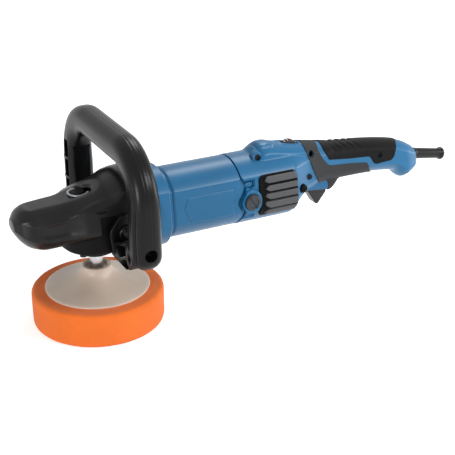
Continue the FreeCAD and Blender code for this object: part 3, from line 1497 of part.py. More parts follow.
def speed_dial():
    at = (shell_x + d.dial_back, 0, motor_z + d.dial_rise)
    wheel = turned([
        (-d.dial_half, d.dial_axle_radius + d.running), (-d.dial_half, d.dial_radius), (d.dial_half, d.dial_radius),
        (d.dial_half, d.dial_axle_radius + d.running),
    ], at, "Y")
    notch = [(d.dial_radius - 0.7, -0.5), (d.dial_radius + 1, -0.5), (d.dial_radius + 1, 0.5),
             (d.dial_radius - 0.7, 0.5)]
    node("speed_dial", repeated(wheel, "Pocket", notch, d.dial_notches, -d.dial_half, d.dial_half))
    x, _, z = at
    cheek = d.dial_half + d.gap
    cheeks = [block((x - 3, a, z - 16), (x + 3, b, z + 3)) for a, b in ((cheek, cheek + 1.5), (-cheek - 1.5, -cheek))]
    axle = rod(d.dial_axle_radius, cheek * 2 + 3, (x, -cheek - 1.5, z), "Y")
    base = block((x - 7, -cheek - 1.5, z - 19), (x + 7, cheek + 1.5, z - 16))
    node("dial_bracket", joined(*cheeks, axle, base))


def electrics():
    x, z = shell_x + d.trigger_pivot_back + 3, motor_z - d.trigger_pivot_drop + d.switch_lift
    node("switch_module", block((x, -d.switch_half, z), (x + d.switch_long, d.switch_half, z + d.switch_high)))
    x = shell_x + d.module_back
    node("speed_control_module", block((x, -d.module_half, motor_z + 2), (
        x + d.module_long, d.module_half, motor_z + 2 + d.module_high)))


def cord_guard():
    root, reach = -d.guard_root, d.guard_reach
    flange_back = -d.guard_seat
    flange_front = flange_back - d.guard_flange
    guard = turned([
        (root, d.guard_bore), (root, d.guard_radius), (flange_front, d.guard_radius),
        (flange_front, d.guard_flange_radius), (flange_back, d.guard_flange_radius), (flange_back, d.guard_radius),
        (reach - 6, d.guard_radius - 0.6), (reach - 4, d.guard_bulb), (reach - 1.5, d.guard_bulb),
        (reach, d.guard_bulb - 1.5), (reach, d.guard_bore),
    ])
    slope = FreeCAD.Rotation(V(0, 1, 0), 90 + float(d.guard_slope))
    node("cord_guard", place(guard, (shell_x + d.rump_back, 0, motor_z - d.guard_drop), slope))


BUILD = (
    foam_pad, backing_plate, pad_insert, spindle, spindle_gear, countershaft, spur_pinion, bevel_gear,
    armature_shaft, bevel_pinion, pinion_nut, armature_core, armature_windings, commutator, cooling_fan, bearings,
    gear_case, gear_case_cover, head_fasteners, spindle_lock, gear_hood, direction_arrow, loop_handle,
    loop_handle_screws, motor_housing, fan_baffle, stator, brushes, vent_grilles, handle_shells, grip_overmoulds,
    shell_screws, trigger, lock_on_button, speed_dial, electrics, cord_guard,
)


def check():
    doc.recompute()
    for item in doc.Objects:
        if "Invalid" in item.State or "Error" in item.State:
            raise RuntimeError("%s (%s) has failed" % (item.Name, item.Label))
    for label, item in NODES.items():
        if item.Shape.isNull() or not item.Shape.isValid():
            raise RuntimeError("%s has no valid shape" % label)


for build in BUILD:
    build()
check()
os.makedirs("parts", exist_ok=True)
for label, item in NODES.items():
    item.Shape.exportStep("parts/%s.step" % label)
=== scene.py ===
"""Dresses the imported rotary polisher: moulded housings, foam pad, rubber grips and steel parts, in metres."""

import json
import math

import bmesh
import bpy
import numpy as np
from mathutils import Matrix, Vector
from mathutils.geometry import delaunay_2d_cdt

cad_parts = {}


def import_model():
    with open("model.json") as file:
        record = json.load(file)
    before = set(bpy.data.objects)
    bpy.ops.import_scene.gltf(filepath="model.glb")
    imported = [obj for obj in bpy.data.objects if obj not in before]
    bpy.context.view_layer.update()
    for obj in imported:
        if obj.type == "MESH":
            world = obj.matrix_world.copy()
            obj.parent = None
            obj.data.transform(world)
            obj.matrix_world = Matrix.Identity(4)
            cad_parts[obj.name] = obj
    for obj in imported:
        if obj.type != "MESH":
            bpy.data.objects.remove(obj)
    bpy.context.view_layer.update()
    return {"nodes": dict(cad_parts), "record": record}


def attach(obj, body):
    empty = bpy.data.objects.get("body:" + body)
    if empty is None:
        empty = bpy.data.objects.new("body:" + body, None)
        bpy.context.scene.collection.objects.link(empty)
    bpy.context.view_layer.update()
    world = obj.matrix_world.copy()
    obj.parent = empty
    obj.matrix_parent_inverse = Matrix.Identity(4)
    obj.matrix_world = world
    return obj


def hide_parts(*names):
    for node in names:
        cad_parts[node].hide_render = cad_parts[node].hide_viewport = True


bl_info = {
    "name": "Rotary polisher",
    "version": (1, 0, 0),
    "blender": (4, 5, 0),
    "location": "View3D > Sidebar > Polisher",
    "description": "Builds the visible pieces of a rotary polisher round its packed frame",
    "category": "Object",
}

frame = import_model()
MM = 0.001
STEP = 0.8  # spacing of mesh points on a moulded skin, in millimetres
SHARP = 38.0  # degrees a surface turns by before its edge reads as hard

# ------------------------------------------------------------------------------------------------------- sizes
# Millimetres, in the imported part's own frame: +X to the rear grip, +Z up, origin under the pad.

AXIS_Z = 126.0  # height of the motor's axis
BARREL_R, BARREL_FLAT, FLAT_LEAN = 41.0, 36.5, 8.0  # motor casing: radius, and its flats' distance and lean
REAR_X, END_ROUND, END_CAP = 430.2, 6.0, 14.0  # rear end of the shells, its rounding, and the cap's points past it
LOCK_X = -17.0  # axis of the spindle lock button
HOOP_X, HOOP_HALF, HOOP_TOP, HOOP_CORNER = 19.5, 98.0, 218.0, 50.0  # middle line of the loop handle
HOOP_TUBE, CROSS_BAR_HALF = 16.3, 14.8  # half thickness of the loop, and of its cross bar along X
LEG_END, LEG_ROUND, LEG_SCREW_Z = 100.5, 17.0, 121.0  # each leg's rounded end, and its screw's height
BRUSH_X, BRUSH_TILT = 177.5, 5.0  # axis of the brush caps and its tilt
TRIGGER_PIVOT, LOCK_ON, DIAL = (268.2, 113.0), (249.2, 123.0), (247.2, 163.0)  # axes along Y, as X and Z
SCREWS = ((196.0, 166.0, 17.5), (267.2, 158.6, 15.0), (261.2, 133.0, 28.0), (366.5, 139.2, 17.0),
          (414.2, 105.0, 10.0))  # shell screws: X, Z and how far their heads' faces are from the middle
SCREW_WELL, SCREW_SINK = 3.9, 2.6  # radius of a shell screw's well, and how deep its floor lies


def linear(text):
    """An sRGB hex colour as linear red, green, blue and alpha."""
    parts = [int(text[n : n + 2], 16) / 255 for n in (1, 3, 5)]
    return tuple(p / 12.92 if p <= 0.04045 else ((p + 0.055) / 1.055) ** 2.4 for p in parts) + (1.0,)


# --------------------------------------------------------------------------------------------------- materials


def node(tree, kind, settings=(), feeds=()):
    """Adds a shader node; settings are attributes or socket values, feeds are the outputs that reach its sockets."""
    made = tree.nodes.new("ShaderNode" + kind)
    for key, value in dict(settings).items():
        if isinstance(key, str) and hasattr(made, key):
            setattr(made, key, value)
        else:
            made.inputs[key].default_value = value
    for key, source in dict(feeds).items():
        tree.links.new(source, made.inputs[key])
    return made


def blank(name, settings):
    """A material with only its surface shader, its uniform values set on that shader's own sockets."""
    made = bpy.data.materials.new(name)
    made.use_nodes = True
    shader = made.node_tree.nodes["Principled BSDF"]
    for key, value in settings.items():
        shader.inputs[key].default_value = value
    return made, made.node_tree, shader


def per_metre(size_mm):
    """A texture scale at which one cell is about this many millimetres."""
    return 1000.0 / size_mm


def uneven_colour(tree, where, colour, patch_mm, detail, dark, light):
    """Broad patches in which a colour moves between two shades of itself; gives the patches and the colour."""
    patches = node(tree, "TexNoise", {"Scale": per_metre(patch_mm), "Detail": detail}, {"Vector": where})
    ramp = node(tree, "ValToRGB", (), {"Fac": patches.outputs["Fac"]})
    for stop, place, share in zip(ramp.color_ramp.elements, (0.35, 0.68), (dark, light)):
        stop.position = place
        stop.color = tuple(min(1.0, c * share) for c in colour[:3]) + (1.0,)
    return patches.outputs["Fac"], ramp.outputs["Color"]


def moulded(name, colour, roughness, grain_mm, grain_depth, fleck=0.06, **extra):
    """Injection-moulded plastic or rubber: a fine spark-eroded grain, faint colour drift and rubbed high spots.

    The real grain is about 0.1 mm across, too fine to show, so it is drawn at 0.5 mm and coarser.
    """
    made, tree, shader = blank(name, {"IOR": 1.5, **extra})
    where = node(tree, "TexCoord").outputs["Object"]
    grain = node(tree, "TexNoise", {"Scale": per_metre(grain_mm), "Detail": 3.0}, {"Vector": where})
    patches, shades = uneven_colour(tree, where, colour, 45, 4.0, 1 - fleck, 1 + fleck)
    rubbed = node(tree, "MapRange", {"To Min": roughness - 0.05, "To Max": roughness + 0.07}, {"Value": patches})
    bump = node(tree, "Bump", {"Strength": 0.5, "Distance": grain_depth * MM}, {"Height": grain.outputs["Fac"]})
    tree.links.new(shades, shader.inputs["Base Color"])
    tree.links.new(rubbed.outputs["Result"], shader.inputs["Roughness"])
    tree.links.new(bump.outputs["Normal"], shader.inputs["Normal"])
    return made


def foam(name, colour):
    """Open-cell polyurethane foam: matt, full of small round pores, slightly uneven in colour.

    The real pores are about 0.5 mm across, too fine to show, so they are drawn at 1.1 mm.
    """
    made, tree, shader = blank(name, {"Roughness": 0.95, "IOR": 1.4, "Sheen Weight": 0.15, "Sheen Roughness": 0.6,
                                      "Specular IOR Level": 0.2})
    where = node(tree, "TexCoord").outputs["Object"]
    pores = node(tree, "TexVoronoi", {"Scale": per_metre(1.1)}, {"Vector": where}).outputs["Distance"]
    _, shades = uneven_colour(tree, where, colour, 30, 5.0, 0.95, 1.04)
    # Each pore's middle is darkened to 0.86 of the colour: painted shade inside the pores.
    shade = node(tree, "MapRange", {"From Min": 0.0, "From Max": 0.35, "To Min": 0.86, "To Max": 1.0}, {"Value": pores})
    mixed = node(tree, "VectorMath", {"operation": "SCALE"}, {0: shades, "Scale": shade.outputs["Result"]})
    bump = node(tree, "Bump", {"Strength": 0.6, "Distance": 0.4 * MM}, {"Height": pores})
    tree.links.new(mixed.outputs[0], shader.inputs["Base Color"])
    tree.links.new(bump.outputs["Normal"], shader.inputs["Normal"])
    return made


def metal(name, colour, roughness, stretch=(1, 1, 1)):
    """Turned or ground metal: fine tool lines along one direction and slightly uneven gloss.

    Real tool lines are 0.05 mm apart and closer, too fine to show, so they are drawn 0.4 mm apart.
    """
    made, tree, shader = blank(name, {"Metallic": 1.0, "Roughness": roughness, "Base Color": colour})
    where = node(tree, "TexCoord").outputs["Object"]
    drawn_out = node(tree, "Mapping", {"Scale": stretch}, {"Vector": where}).outputs["Vector"]
    lines = node(tree, "TexNoise", {"Scale": per_metre(0.4), "Detail": 2.0}, {"Vector": drawn_out}).outputs["Fac"]
    spread = node(tree, "MapRange", {"To Min": max(0.04, roughness - 0.1), "To Max": roughness + 0.12},
                  {"Value": lines})
    bump = node(tree, "Bump", {"Strength": 0.4, "Distance": 0.02 * MM}, {"Height": lines})
    tree.links.new(spread.outputs["Result"], shader.inputs["Roughness"])
    tree.links.new(bump.outputs["Normal"], shader.inputs["Normal"])
    return made


FINISHES = {}


def make_finishes():
    """Mixes every finish, from the colours in the panel where a user would change them."""
    colours = bpy.context.scene.polisher
    low_gloss, mid_gloss = {"Specular IOR Level": 0.08}, {"Specular IOR Level": 0.2}
    FINISHES.update(
        # Open-cell polyurethane foam, cut and turned: matt with visible pores.
        pad_foam=foam("Polyurethane foam", colours.pad_colour),
        # Nylon, moulded in a smooth tool: dull warm beige with a soft sheen.
        plate_plastic=moulded("Moulded nylon plate", colours.plate_colour, 0.42, 0.9, 0.03),
        # Moulded rubber skin: near black, satin, soft highlights along its creases.
        black_rubber=moulded("Moulded rubber hood", colours.rubber_colour, 0.3, 0.8, 0.03,
                             **{"Specular IOR Level": 0.26}),
        # Glass-filled nylon of the loop handle: black, waxy gloss with long bright streaks.
        black_plastic=moulded("Glass-filled nylon", colours.loop_colour, 0.28, 0.7, 0.03, **mid_gloss),
        # ABS body shells with a fine spark-eroded grain and a satin gloss.
        blue_plastic=moulded("ABS body shell", colours.body_colour, 0.34, 0.6, 0.02, fleck=0.04,
                             **{"Specular IOR Level": 0.38}),
        # Soft-touch thermoplastic elastomer on the front of the grip: matt warm grey.
        grey_rubber=moulded("Soft-touch elastomer", colours.grip_colour, 0.55, 0.7, 0.05, **low_gloss),
        # The same elastomer in its darker mix, on the back of the grip.
        dark_rubber=moulded("Dark soft-touch elastomer", colours.back_grip_colour, 0.42, 0.7, 0.05, **low_gloss),
        # Nylon of the grille's bars: mid grey, slightly grainy.
        grey_plastic=moulded("Nylon grille", linear("#58595b"), 0.4, 0.7, 0.04, **mid_gloss),
        # Cap nylon, moulded smooth: slate grey with a dull gloss.
        cap_plastic=moulded("Smooth nylon", linear("#44484c"), 0.4, 0.6, 0.02, **mid_gloss),
        # Trigger nylon, polished by fingers: dark grey with a smooth satin gloss.
        trigger_plastic=moulded("Handled nylon", linear("#333335"), 0.34, 0.7, 0.02, **mid_gloss),
        # Dark nylon of the lock-on peg; on the grille's frame the same near black is painted shade between the bars.
        dark_plastic=moulded("Dark nylon and painted shade", linear("#0b0b0c"), 0.5, 0.7, 0.04, **low_gloss),
        # Silver paint on ABS: metallic grain with a satin lacquer.
        arrow_silver=moulded("Silver-painted ABS", linear("#b9bcc0"), 0.35, 0.6, 0.02, Metallic=0.6),
        # Dial wheel, moulded smooth: black with a clear gloss.
        dial_plastic=moulded("Dial polycarbonate", linear("#1d1d1f"), 0.35, 0.6, 0.02),
        # Pad-printed marks on the dial: flat white and red ink.
        white_ink=moulded("White marking ink", linear("#e8e8e6"), 0.5, 0.5, 0.01),
        red_ink=moulded("Red marking ink", linear("#c8201c"), 0.5, 0.5, 0.01),
        # Powder coat over the cast gear head: fine orange-peel, black satin.
        case_paint=moulded("Black powder coat", linear("#101012"), 0.42, 1.4, 0.05, **low_gloss),
        # Ground spindle and screws: bright bands from the wheel marks.
        steel=metal("Ground steel", linear("#c9cacd"), 0.18, (1, 1, 12)),
        # Blackened screws: dull oxide.
        dark_steel=metal("Blackened steel", linear("#2e2e31"), 0.38),
        # Electrical sheet, stacked: fine dark lines across.
        lamination_steel=metal("Stacked laminations", linear("#77787c"), 0.42, (14, 1, 1)),
        # Turned brass insert: warm, bright rings.
        bronze_insert=metal("Turned brass", linear("#c79a52"), 0.3, (1, 1, 12)),
        # Enamelled winding wire: copper seen through varnish.
        copper=metal("Enamelled copper wire", linear("#b4643a"), 0.35, (10, 1, 1)),
        # Pressed carbon brushes: matt black, sooty.
        carbon=moulded("Pressed carbon", linear("#1a1a1a"), 0.6, 0.6, 0.05),
        # Potting resin over the boards: dark green, smooth.
        board_plastic=moulded("Potting resin", linear("#1f4a33"), 0.4, 0.8, 0.03),
    )


# ---------------------------------------------------------------------------------------------- mesh building


def finish_of(piece, finish):
    """Gives a piece one finish and no other."""
    piece.data.materials.clear()
    piece.data.materials.append(FINISHES[finish])


def shaded(mesh):
    """Smooth shading, with hard edges where the surface turns sharply."""
    mesh.shade_smooth()
    mesh.set_sharp_from_angle(angle=math.radians(SHARP))


def piece_of(name, points, faces):
    """A bare piece from points in millimetres, its normals outward."""
    mesh = bpy.data.meshes.new(name)
    mesh.from_pydata((np.asarray(points, float) * MM).tolist(), [], [tuple(map(int, f)) for f in faces])
    mesh.validate()
    made = bpy.data.objects.new(name, mesh)
    bpy.context.scene.collection.objects.link(made)
    work = bmesh.new()
    work.from_mesh(mesh)
    bmesh.ops.remove_doubles(work, verts=work.verts, dist=1e-6)
    bmesh.ops.recalc_face_normals(work, faces=work.faces)
    work.to_mesh(mesh)
    work.free()
    shaded(mesh)
    return made


def dressed(piece, finish, body, *replaces, slot=None):
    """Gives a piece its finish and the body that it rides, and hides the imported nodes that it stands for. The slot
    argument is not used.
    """
    finish_of(piece, finish)
    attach(piece, body)
    if replaces:
        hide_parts(*replaces)
    return piece


def wall(outer, inner, wrap=False, ends=(0, -1)):
    """A closed wall between two grids of points; wrap joins the last column to the first, ends are joined rows."""
    outer, inner = np.asarray(outer), np.asarray(inner)
    rows, columns = outer.shape[:2]
    count, last = rows * columns, columns if wrap else columns - 1
    i, j = np.meshgrid(np.arange(rows - 1), np.arange(last), indexing="ij")
    a, b = i * columns + j, i * columns + (j + 1) % columns
    top = np.stack([a, b, b + columns, a + columns], -1).reshape(-1, 4)
    faces = [top, top[:, ::-1] + count]
    j = np.arange(last)
    for row in ends:
        a, b = row % rows * columns + j, row % rows * columns + (j + 1) % columns
        faces.append(np.stack([a, b, b + count, a + count], -1))
    if not wrap:
        i = np.arange(rows - 1)
        for column in (0, columns - 1):
            a = i * columns + column
            faces.append(np.stack([a, a + columns, a + columns + count, a + count], -1))
    return np.concatenate([outer.reshape(-1, 3), inner.reshape(-1, 3)]), np.concatenate(faces)


def closed_skin(grid, ring=False):
    """A closed surface from a grid whose columns wrap round; its rows wrap too in a ring, or else end in points."""
    rows, columns = grid.shape[:2]
    i, j = np.meshgrid(np.arange(rows if ring else rows - 1), np.arange(columns), indexing="ij")
    here, ahead, beside = i * columns, (i + 1) % rows * columns, (j + 1) % columns
    return grid.reshape(-1, 3), np.stack([here + j, here + beside, ahead + beside, ahead + j], -1).reshape(-1, 4)


def lathe(profile, segments):
    """A grid of points turned about Z from (radius, height) pairs."""
    profile = np.asarray(profile, float)
    angle = np.linspace(0, 2 * math.pi, segments, endpoint=False)
    radius, height = profile[:, :1], np.repeat(profile[:, 1:], segments, 1)
    return np.stack([radius * np.cos(angle), radius * np.sin(angle), height], -1)


def arc(centre, radius, start, end, count=8):
    """Points along an arc, from and to angles in degrees."""
    angle = np.radians(np.linspace(start, end, count))
    return [(centre[0] + radius * math.cos(a), centre[1] + radius * math.sin(a)) for a in angle]


def easy_curve(places, values, wanted):
    """A smooth curve through values that never overshoots them (monotone cubic)."""
    x, y = np.asarray(places, float), np.asarray(values, float)
    run, rise = np.diff(x), np.diff(y)
    slope = rise / run
    tangent = np.zeros_like(y)
    both = slope[1:] * slope[:-1] > 0
    weight1, weight2 = 2 * run[1:] + run[:-1], run[1:] + 2 * run[:-1]
    with np.errstate(divide="ignore", invalid="ignore"):
        harmonic = (weight1 + weight2) / (weight1 / slope[:-1] + weight2 / slope[1:])
    tangent[1:-1] = np.where(both, harmonic, 0)
    tangent[0], tangent[-1] = slope[0], slope[-1]
    wanted = np.clip(np.asarray(wanted, float), x[0], x[-1])
    k = np.clip(np.searchsorted(x, wanted, "right") - 1, 0, len(run) - 1)
    t = (wanted - x[k]) / run[k]
    return (
        y[k] * (1 + 2 * t) * (1 - t) ** 2
        + tangent[k] * run[k] * t * (1 - t) ** 2
        + y[k + 1] * t * t * (3 - 2 * t)
        + tangent[k + 1] * run[k] * t * t * (t - 1)
    )


def blur(values, reach, axis=0, wrap=False):
    """Softens an array along one axis over about this many samples."""
    if reach <= 0:
        return values
    half = max(1, int(math.ceil(reach * 3)))
    weights = np.exp(-0.5 * (np.arange(-half, half + 1) / reach) ** 2)
    weights /= weights.sum()
    padded = np.pad(
        values, [(half, half) if n == axis else (0, 0) for n in range(values.ndim)], "wrap" if wrap else "edge"
    )
    return np.apply_along_axis(lambda line: np.convolve(line, weights, "valid"), axis, padded)


def step(value, low, high):
    """A smooth rise from 0 to 1 between two values."""
    t = np.clip((value - low) / (high - low), 0, 1)
    return t * t * (3 - 2 * t)


def outline_distance(x, z, outline):
    """Signed distance to a closed outline, negative inside."""
    corners = np.asarray(outline, float)
    best, inside = np.full(np.shape(x), 1e9), np.zeros(np.shape(x), bool)
    for (ax, az), (bx, bz) in zip(corners, np.roll(corners, -1, 0)):
        ex, ez, wx, wz = bx - ax, bz - az, x - ax, z - az
        t = np.clip((wx * ex + wz * ez) / (ex * ex + ez * ez), 0, 1)
        best = np.minimum(best, np.hypot(wx - ex * t, wz - ez * t))
        if ez:
            inside ^= ((az > z) != (bz > z)) & (x < ex * (z - az) / ez + ax)
    return np.where(inside, -best, best)


def carve(piece, *cutters):
    """Cuts closed pieces out of a piece and removes them."""
    for cutter in cutters:
        cutting = piece.modifiers.new("Carve", "BOOLEAN")
        cutting.operation, cutting.solver, cutting.object = "DIFFERENCE", "EXACT", cutter
    bpy.context.view_layer.update()
    solid = bpy.data.meshes.new_from_object(piece.evaluated_get(bpy.context.evaluated_depsgraph_get()))
    old = piece.data
    piece.modifiers.clear()
    piece.data = solid
    for cutter in cutters:
        bpy.data.objects.remove(cutter)
    bpy.data.meshes.remove(old)
    shaded(piece.data)
    return piece


def softened(piece, width, segments, angle):
    """Rounds a piece's edges that turn by more than an angle in degrees."""
    bevel = piece.modifiers.new("Soften", "BEVEL")
    bevel.width, bevel.segments, bevel.limit_method = width * MM, segments, "ANGLE"
    bevel.angle_limit = math.radians(angle)
    return carve(piece)


def prism(outline, low, high, axis):
    """A closed prism from an outline: axis X takes (y, z) corners, Y takes (x, z), and Z takes (x, y)."""
    count = len(outline)
    order = {"X": (2, 0, 1), "Y": (0, 2, 1), "Z": (0, 1, 2)}[axis]
    points = np.array([(a, b, level) for level in (low, high) for a, b in outline], float)[:, order]
    faces = [tuple(range(count)), tuple(reversed(range(count, 2 * count)))]
    faces += [(n, (n + 1) % count, (n + 1) % count + count, n + count) for n in range(count)]
    return points, faces


def ring_of(radius, count=48):
    """Points round a circle."""
    angle = np.linspace(0, 2 * math.pi, count, endpoint=False)
    return np.stack([radius * np.cos(angle), radius * np.sin(angle)], -1)


def rings_along(sections, start, along):
    """Rows of points from rings of (a, b) points at distances along an axis: [(distance, ring), ...]."""
    along = Vector(along).normalized()
    side = along.cross(Vector((0, 0, 1)))
    side = side.normalized() if side.length > 1e-6 else Vector((1, 0, 0))
    over = side.cross(along)
    return [np.asarray(start, float) + np.outer(np.full(len(ring), d), along) + np.outer(ring[:, 0], side)
            + np.outer(ring[:, 1], over) for d, ring in sections]


def capped(rows):
    """A closed skin from rings of points, the first and the last drawn in to their middles."""
    first, last = (np.repeat(row.mean(0)[None], len(row), 0) for row in (rows[0], rows[-1]))
    return closed_skin(np.array([first, *rows, last]))


def turned(steps, start, along, count=48):
    """A closed round solid from (distance, radius) pairs along an axis."""
    return capped(rings_along([(d, ring_of(r, count)) for d, r in steps], start, along))


def tool_box(low, high):
    """A box-shaped cutter between two opposite corners."""
    (x, y, z), (far_x, far_y, far_z) = low, high
    return piece_of("tool", *prism([(x, y), (far_x, y), (far_x, far_y), (x, far_y)], z, far_z, "Z"))


def tool_rod(radius, length, start, along):
    """A round cutter."""
    return piece_of("tool", *turned([(0, radius), (length, radius)], start, along))


def screw_wells(side):
    """Cutters for the wells of the shell screws, which all go in from the near side."""
    return [tool_rod(SCREW_WELL, 60, (x, SCREW_SINK - reach, z), (0, -1, 0)) for x, z, reach in SCREWS if side < 0]


def leg_screw_hole(side):
    """A cutter for the hole through a leg and its foot for the screw that holds the loop."""
    return tool_rod(7, 70, (HOOP_X, 53 * side, LEG_SCREW_Z), (0, side, 0))


# ------------------------------------------------------------------------------- the body's moulded outer skin
# Angles run from +Y (0 degrees) over the top (90 degrees). Lift is how far a point stands out from the skin.

PHI = np.linspace(0, 2 * math.pi, 720, endpoint=False)


def star(points):
    """The radius, at every angle, of a closed outline round its centre."""
    points = np.asarray(points, float)
    ends = np.roll(points, -1, 0)
    share = np.linspace(0, 1, 12, endpoint=False)[:, None, None]
    dense = (points + (ends - points) * share).transpose(1, 0, 2).reshape(-1, 2)
    angle, radius = np.arctan2(dense[:, 1], dense[:, 0]) % (2 * math.pi), np.hypot(dense[:, 0], dense[:, 1])
    order = np.argsort(angle)
    return np.interp(PHI, angle[order], radius[order], period=2 * math.pi)


def tilt_up(angle):
    """How many degrees an angle points above the side of the body, -90 to 90."""
    return np.degrees(np.arcsin(np.clip(np.sin(angle), -1, 1)))


def about_axis(x, radius, angle, middle=0.0):
    """Points at radii and angles round the motor's axis, or round a line this far above it."""
    return np.stack([x, radius * np.cos(angle), AXIS_Z + middle + radius * np.sin(angle)], -1)


def soft_least(a, b, reach):
    """The lesser of two values, with a smooth change from one to the other."""
    share = np.clip(0.5 + 0.5 * (b - a) / reach, 0, 1)
    return b + (a - b) * share - reach * share * (1 - share)


def soft_most(a, b, reach):
    """The greater of two values, with a smooth change from one to the other."""
    return -soft_least(-a, -b, reach)


def casing_radius(angle, offset=0.0, reach=0.7):
    """The motor casing's section: a circle with a leaning flat on each side."""
    radius = np.full(np.shape(angle), BARREL_R + offset)
    for lean in (FLAT_LEAN, 180 - FLAT_LEAN):
        across = np.cos(angle - math.radians(lean))
        flat = np.where(across > 0.3, (BARREL_FLAT + offset) / np.maximum(across, 0.3), 1e3)
        radius = soft_least(radius, flat, reach)
    return radius


def shell_section(half, rise, drop):
    """Half of a shell's outline from its top to its belly and back: arched above and below, with straight flanks."""
    middle, tall = (rise - drop) / 2, (rise + drop) / 2
    # Each flank runs from the shoulder down to the widest place, as shares of the half width and height.
    shoulder, widest = (half * 0.866, middle + tall * 0.575), (half, middle - tall * 0.327)
    points = []
    for (y, z), peak in ((shoulder, rise), (widest, -drop)):
        bow = (y * y + (peak - z) ** 2) / (2 * (peak - z))
        for turn in np.linspace(math.asin(y / bow), -math.asin(y / bow), 24):
            points.append((bow * math.sin(turn), peak - bow + bow * math.cos(turn) - middle))
    points.sort(key=lambda p: math.atan2(p[1], p[0]))
    return points, middle


# The rear shells' half width, rise and drop from the motor's axis, at places along X.
SHELL_X = (238.2, 264.2, 296.2, 338.2, 394.2, 410.2, REAR_X)
SHELL_HALF = (39.35, 27.0, 22.5, 20.5, 20.0, 21.0, 15.0)
SHELL_RISE = (41.6, 39.0, 36.3, 32.2, 23.8, 19.2, 8.5)
SHELL_DROP = (41.6, 21.0, 11.0, 11.2, 16.0, 28.0, 19.0)
SHELL_START, SHELL_WALL = 150.0, 3.0
# The raised back in front of the grip, and the lip round the trigger's root.
HUMP_X = (188.5, 195.5, 204.2, 213.2, 248.2, 298.2)
HUMP_HALF = (19.0, 22.0, 24.0, 24.0, 24.0, 20.5)
HUMP_TOP = (36.5, 45.5, 50.8, 51.3, 44.7, 36.0)
LIP_X = (264.2, 282.2, 299.2, 304.2, 308.2, 313.2)
LIP_DROP = (18.5, 21.0, 22.5, 21.7, 16.5, 10.0)
LIP_HALF = 12.5


def hump_outline(x):
    """The arched outline of the raised back at a place along X, about the motor axis, open below."""
    arch, base = shell_section(np.interp(x, HUMP_X, HUMP_HALF), np.interp(x, HUMP_X, HUMP_TOP), -5.0)
    outline = [(y, z + base) for y, z in arch if z + base > 22]
    return [(outline[0][0], -5.0)] + outline + [(outline[-1][0], -5.0)]


def lip_outline(x):
    """The lip round the trigger's root at a place along X, about the motor axis."""
    low = -np.interp(x, LIP_X, LIP_DROP)
    return [(LIP_HALF, 0), (LIP_HALF, low + 3), (LIP_HALF - 3, low), (3 - LIP_HALF, low), (-LIP_HALF, low + 3),
            (-LIP_HALF, 0)]


def body_table():
    """The skin's radius and centre height at every place along X, and which way is outwards there."""
    places = np.arange(SHELL_START, REAR_X + 0.01, STEP)
    half, rise, drop = (easy_curve(SHELL_X, v, places) for v in (SHELL_HALF, SHELL_RISE, SHELL_DROP))
    radius, centre = [], []
    for n, x in enumerate(places):
        points, middle = shell_section(half[n], rise[n], drop[n])
        plain = star(points)
        for reach, outline in ((HUMP_X, hump_outline), (LIP_X, lip_outline)):
            if reach[0] < x < reach[-1]:
                plain = soft_most(plain, star([(y, z - middle) for y, z in outline(x)]), 1.6)
        radius.append(plain)
        centre.append(middle)
    radius, centre = blur(blur(np.array(radius), 1.6), 2.2, 1, True), blur(np.array(centre), 2.0)
    turn = np.clip((places - (REAR_X - END_ROUND)) / END_ROUND, 0, 1)
    radius = radius - (END_ROUND * (1 - np.sqrt(1 - turn**2)))[:, None]
    outward = np.stack([turn, np.sqrt(1 - turn**2)], -1)
    cap = np.arange(STEP, END_CAP + 0.01, STEP)
    shrink = 1 - cap / END_CAP
    places = np.concatenate([places, REAR_X + cap])
    radius = np.concatenate([radius, radius[-1] * shrink[:, None]])
    centre = np.concatenate([centre, np.full(len(cap), centre[-1])])
    outward = np.concatenate([outward, np.tile([[1.0, 0.0]], (len(cap), 1))])
    return places, radius, centre, outward


TABLE_X, TABLE_R, TABLE_C, TABLE_OUT = body_table()


def skin(x, angle, lift=0.0):
    """Points of the body's skin at places along X and angles round it."""
    row = np.clip((x - TABLE_X[0]) / STEP, 0, len(TABLE_X) - 1.001)
    column = (angle % (2 * math.pi)) / (2 * math.pi) * len(PHI)
    i, j = row.astype(int), column.astype(int) % len(PHI)
    k, a, b = (j + 1) % len(PHI), row - row.astype(int), column - column.astype(int)
    radius = (TABLE_R[i, j] * (1 - b) + TABLE_R[i, k] * b) * (1 - a) + (
        TABLE_R[i + 1, j] * (1 - b) + TABLE_R[i + 1, k] * b) * a
    centre = TABLE_C[i] * (1 - a) + TABLE_C[i + 1] * a
    outward = TABLE_OUT[i] * (1 - a)[..., None] + TABLE_OUT[i + 1] * a[..., None]
    radius = np.maximum(radius + outward[..., 1] * lift, 0.0)
    where = np.minimum(x, REAR_X) + outward[..., 0] * lift
    return about_axis(where, radius, angle, centre)


def spread_out(length, spacing=STEP, edge=0.6):
    """Shares of a length in even steps, closer together where the edge at each end is rounded."""
    near = [0.0, edge * 0.15, edge * 0.4, edge]
    middle = np.linspace(edge * 1.8, length - edge * 1.8, max(2, int(length / spacing)))
    return np.concatenate([near, middle, [length - n for n in reversed(near)]]) / length


def edge_distance(grid):
    """How far each point of a grid is from the grid's nearest edge, along the grid."""
    found = []
    for axis in (0, 1):
        steps = np.linalg.norm(np.diff(grid, axis=axis), axis=-1)
        pad = [(1, 0) if n == axis else (0, 0) for n in range(2)]
        run = np.cumsum(np.pad(steps, pad), axis)
        total = run[-1:] if axis == 0 else run[:, -1:]
        found += [run, total - run]
    return np.minimum.reduce(found)


def rolled(distance, lift, edge):
    """The height of a panel with a rounded rim."""
    return lift - edge + np.sqrt(np.maximum(edge**2 - (edge - np.clip(distance, 0, edge)) ** 2, 0))


